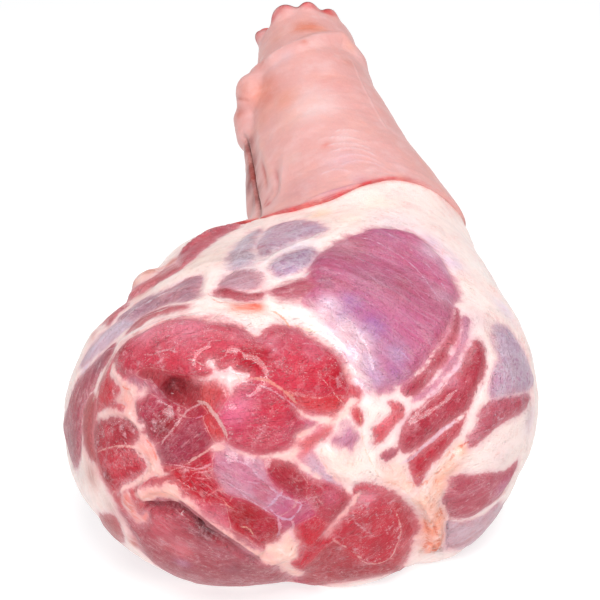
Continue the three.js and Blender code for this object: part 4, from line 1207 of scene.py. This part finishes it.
# A few rows run on under the next piece, each sunk deeper, so that no gap shows. They are a small share of
# the spine apart, and those under the cut face lean toward it by this many degrees for a share of 1.
SINK = np.array([0.3, 1.5, 4.0])
TAIL = np.arange(1, 4) * 0.004
LEAN_PER_SHARE = 300
PIECES = {
    # share of the spine and lean of the rays, both at the start and the end, then rows and columns
    "cut_face": ((0, 0), (-88.5, 0), 204, 480),
    "ham_front": ((0, 0.2), (0, 0), 172, 560),
    "ham_back": ((0.2, RIND_EDGE + 0.05), (0, 0), 172, 560),
}
for name, ((first, last), (start, stop), count, columns) in PIECES.items():
    before = np.zeros(0) if name == "cut_face" else TAIL[::-1]
    share = np.concatenate([first - before * (first > 0), np.linspace(first, last, count), last + TAIL])
    lead = start - LEAN_PER_SHARE * before * (first == 0)
    lean = np.concatenate([lead, np.linspace(start, stop, count), np.full(len(TAIL), stop)])
    sink = np.concatenate([-SINK[::-1][:len(before)], np.zeros(count), -SINK])
    surface = skin_rows(share, lean, columns)
    inwards = np.repeat(sink, columns)[:, None] * slope(surface.reshape(-1, 3))
    moved, reads = painted(surface.reshape(-1, 3))
    closed_body(name, (moved + inwards).reshape(surface.shape), paint, "meat", **reads)


# ---------------------------------------------------------------------------------------------------------
# The rind of the shank: a sleeve of scalded skin, 3 mm thick, that was cut round with a knife where the ham
# starts. It creases where it was gathered and ends in a rim at the sawn hock.
# ---------------------------------------------------------------------------------------------------------
RIND_COLUMNS, RIND_ROWS, RIM_ROWS = 360, 130, 18
RIND_THICK, RIM_THICK = 3.0, 0.2
shares = RIND_EDGE + (1 - RIND_EDGE) * np.linspace(0, 1, RIND_ROWS) ** 1.1
inner = skin_rows(np.full(2, RIND_EDGE), np.zeros(2), RIND_COLUMNS, np.array([-12.0, -1.5])[:, None])
thick = RIM_THICK + (RIND_THICK - RIM_THICK) * np.clip((1 - shares) / 0.12, 0, 1)
sleeve = skin_rows(shares, np.zeros(RIND_ROWS), RIND_COLUMNS, thick[:, None])
rim = skin_rows(np.ones(RIM_ROWS), np.linspace(0, 44, RIM_ROWS + 1)[1:], RIND_COLUMNS,
                np.linspace(0.4, RIM_THICK, RIM_ROWS)[:, None])
tuck = skin_rows(np.ones(2), np.array([46.0, 50.0]), RIND_COLUMNS, np.array([-4.0, -10.0])[:, None])
rind = np.concatenate([inner, sleeve, rim, tuck]).reshape(-1, 3)

# Tones of the skin, as on the ham, with painted light and shade among them where marked: place and
# radius in pixels, and colour on a screen.
SKIN_TONES_AND_PAINTED_LIGHT = [
    (300, 24, 14, (232, 150, 122)), (322, 26, 9, (236, 170, 146)), (311, 21, 4, (212, 96, 74)),
    # Painted highlight: the pale spot at 286 56 is a spot of light on the top of the shank.
    (275, 34, 10, (238, 178, 160)), (305, 41, 5, (228, 142, 122)), (286, 56, 9, (234, 206, 208)),
    (274, 66, 7, (234, 200, 200)), (338, 84, 17, (236, 176, 172)), (360, 110, 16, (236, 184, 178)),
    # Painted shade over reddish brown flesh: the dark spots at 250 165, 256 196 and 247 146 lie in the furrow
    # on the left of the shank.
    (250, 165, 14, (130, 28, 22)), (256, 196, 12, (150, 46, 40)), (247, 146, 12, (136, 36, 30)),
    # The dark spot at 250 184 is painted shade in the furrow; the pale spot at 312 100 is a painted highlight
    # on the middle of the shank.
    (250, 184, 14, (132, 34, 28)), (312, 100, 26, (242, 212, 208)), (290, 120, 16, (240, 196, 184)),
    (385, 165, 26, (234, 190, 188)), (268, 98, 17, (234, 160, 144)), (262, 120, 13, (236, 174, 160)),
    (262, 62, 7, (230, 160, 148)), (262, 90, 18, (232, 150, 128)), (285, 100, 16, (238, 176, 156)),
    # Painted highlight: the pale spot at 312 110, on the middle of the shank.
    (310, 24, 13, (232, 144, 112)), (312, 110, 20, (246, 224, 220)), (330, 80, 14, (240, 184, 176)),
    (345, 60, 10, (236, 166, 150)), (340, 160, 16, (236, 200, 206)), (345, 135, 12, (240, 208, 206)),
    (300, 190, 20, (226, 174, 172)), (290, 160, 12, (238, 200, 192)), (246, 88, 8, (228, 166, 154)),
    (238, 112, 8, (216, 140, 128)), (352, 45, 8, (244, 196, 178)), (330, 198, 9, (220, 160, 172)),
    (268, 203, 5, (206, 70, 66)), (360, 180, 10, (226, 170, 176)), (430, 180, 12, (236, 190, 182)),
    (275, 180, 9, (232, 196, 196)), (330, 55, 12, (240, 186, 178)), (320, 130, 8, (238, 190, 182)),
    (326, 145, 5, (236, 160, 150)),
]

# Creases and ridges of the skin: path in pixels, half width and height in mm, and colour. Where marked,
# a crease is darkened as painted shade and a ridge paled as painted highlight.
SKIN_LINES = [
    # Painted shade: the furrow on the left, coloured far darker than the reddish brown flesh beside it.
    ("242 132, 247 146, 251 164, 255 185, 258 204, 259 217", 1.4, -3.2, (104, 30, 28)),
    ("249 142, 251 160, 253 180, 256 206", 4.5, 0.4, (160, 66, 56)),
    # Painted highlight: the ridges of the folds at 256 128 and 284 150 are paler than the skin.
    ("256 128, 261 146, 267 164, 272 180, 275 192", 3.2, 1.0, (236, 196, 188)),
    # Painted shade: the creases of the folds at 262 160 and 275 170 are darker than the skin.
    ("262 160, 266 176, 268 190", 1.6, -0.5, (208, 124, 116)),
    ("275 170, 279 182, 277 194, 270 202", 2.0, -1.0, (196, 108, 102)),
    ("284 150, 283 168, 281 184, 276 202", 3.4, 0.9, (238, 204, 200)),
    ("263 206, 267 200, 272 194", 2.0, -0.6, (196, 34, 38)),
    # Painted shade: the creases round the knob at 234 98, 238 88 and 240 124 are darker than the skin.
    ("234 98, 241 99, 247 100, 251 104, 248 110", 1.2, -0.7, (206, 128, 116)),
    ("238 88, 243 84, 249 84, 254 90", 0.9, -0.5, (226, 160, 148)),
    ("240 124, 246 122, 252 126", 0.8, -1.0, (196, 116, 108)),
    # Painted shade in the fold line under the cuff at the top, and painted highlight on the ridge above it.
    ("256 66, 262 56, 270 47, 287 36, 310 29, 330 26, 347 30", 0.9, -0.8, (236, 182, 168)),
    ("259 70, 266 59, 276 50, 292 41, 312 34, 332 31, 348 35", 1.2, 0.8, (246, 216, 212)),
    ("300 205, 314 198, 330 192, 348 187, 370 182", 1.6, 0.7, (214, 158, 176)),
    ("318 140, 332 137, 348 137, 362 141", 0.6, 0.5, (244, 222, 220)),
    ("330 132, 346 130, 360 132", 0.6, 0.4, (244, 222, 220)),
    ("326 146, 340 143, 356 144, 372 150", 0.6, 0.5, (242, 218, 220)),
    ("330 152, 346 148, 362 150, 378 157", 0.6, 0.5, (242, 218, 220)),
    ("334 159, 350 155, 368 157, 386 166", 0.6, 0.4, (240, 212, 218)),
    ("340 166, 356 161, 374 163, 392 172", 0.6, 0.4, (240, 212, 218)),
    ("318 176, 334 170, 352 172", 0.6, 0.4, (242, 214, 218)),
    ("352 60, 362 84, 374 108, 388 130", 0.8, 0.3, (240, 200, 196)),
    ("412 150, 424 164, 438 182, 450 200", 1.0, 0.5, (246, 206, 190)),
]
skin_outlines = [rounded(pixels(row[0]), False) for row in SKIN_LINES]
skin_outlines.append(np.array([(row[0], row[1]) for row in SKIN_TONES_AND_PAINTED_LIGHT], float))
laid = lay(skin_outlines, RIND_THICK)
rind_out = slope(rind)
tone = np.tile(linear((238, 190, 184)), (len(rind), 1))
# Tones of the skin, with painted highlights and painted shade among them, laid on as soft spots.
for spot, (_, _, radius, colour) in zip(laid[-1], SKIN_TONES_AND_PAINTED_LIGHT):
    weight = 0.9 * spot_share(rind, spot, radius * MM_PER_PIXEL * 1.15)[:, None]
    tone += weight * (linear(colour) - tone)
rise = 0.5 * soft_noise(rind, 24, 41) + 0.25 * soft_noise(rind, 9, 42)
wrinkled = rind * (0.12, 0.5, 0.12)
rise += 0.18 * soft_noise(wrinkled, 1.6, 43)
# Each line sinks or lifts the skin and lays its colour there, painted shade and painted highlight where
# marked above.
for (_, half_width, lift, colour), strand in zip(SKIN_LINES, laid):
    near = np.nonzero(np.linalg.norm(rind - strand.mean(0), axis=1) < 70)[0]
    distance, along = path_distance(rind[near], strand)
    taper = np.clip(np.minimum(along, along.max() - along) / (8 * half_width), 0.05, 1) ** 0.5
    share = taper * np.exp(-((distance / half_width) ** 2))
    rise[near] += lift * share
    tone[near] += 0.92 * share[:, None] * (linear(colour) - tone[near])

# Blood on the cut edge, in places and not at all low on the right, and on the rim past the cut of the hock.
SPINE_LENGTH, BLOOD_WIDTH = 330, 2.4
bleeding = np.exp(-(((shares - RIND_EDGE) * SPINE_LENGTH / BLOOD_WIDTH) ** 2))
at_edge = np.repeat(np.concatenate([[1, 1], bleeding, np.zeros(RIM_ROWS + 2)]), RIND_COLUMNS)
past_cut = np.clip(((rind - HOCK_CUT) @ HOCK_WAY + 6 + 5 * soft_noise(rind, 10, 47)) / 4, 0, 1)
dry, bloody = cast([(436, 192), (392, 182)], RIND_THICK)[:, 0]
at_edge *= np.clip((dry - rind[:, 0]) / (dry - bloody), 0, 1)
at_edge *= np.clip(0.95 + 0.6 * soft_noise(rind, 9, 45), 0.25, 1)
blood = linear((212, 50, 58)) * (1 + 0.3 * soft_noise(rind, 4, 44))[:, None]
for share in (at_edge * 0.9, past_cut * np.clip(0.75 + 0.6 * soft_noise(rind, 6, 46), 0.1, 1)):
    tone += share[:, None] * (blood - tone)
rind = rind + rise[:, None] * rind_out

skin = Paint("scalded_rind")
where = skin.node("ShaderNodeTexCoord", {}, {}, "Object")
hue = skin.attribute("lean", "Color")
hue = skin.mix(1.0, hue, (0.84, 0.69, 0.70, 1), "MULTIPLY")
hue = skin.mix(skin.noise(where, 55, 5, 0.65).rise(0.46, 0.72) * 0.35, hue, (0.84, 0.40, 0.33, 1))
hue = skin.mix(skin.noise(where, 70, 3, 0.6).rise(0.42, 0.75) * 0.22, hue, (0.86, 0.68, 0.70, 1))
hue = skin.mix(skin.noise(where, 420, 4, 0.65).rise(0.5, 0.75) * 0.3, hue, (0.84, 0.42, 0.38, 1))
pores = skin.noise(where, 1400, 2)
skin_paint = skin.finish(
    {"Base Color": hue, "Roughness": 0.38 + skin.noise(where, 90, 3) * 0.15, "Subsurface Weight": 0.12,
     "Subsurface Radius": (1.0, 0.4, 0.3), "Subsurface Scale": 0.004, "Coat Weight": 0.15,
     "Coat Roughness": 0.3},
    [(skin.noise(where, 200, 4), 0.35, 0.001), (pores, 0.2, 0.0003)],
)
closed_body("shank_rind", rind.reshape(-1, RIND_COLUMNS, 3), skin_paint, "rind", lean=tone)


# ---------------------------------------------------------------------------------------------------------
# The severed end of the hock: a ring of torn flesh round the ends of the two shin bones, where the foot was
# cut off. It closes the sleeve of rind.
# ---------------------------------------------------------------------------------------------------------
END_COLUMNS, END_ROWS = 160, 40
end = skin_rows(np.ones(END_ROWS), np.linspace(30, 88, END_ROWS), END_COLUMNS,
                np.linspace(-2, 0.4, END_ROWS)[:, None])
end_tone = np.tile(linear((222, 96, 92)), (END_ROWS * END_COLUMNS, 1))
closed_body("hock_end", end, skin_paint, "bone", lean=end_tone)
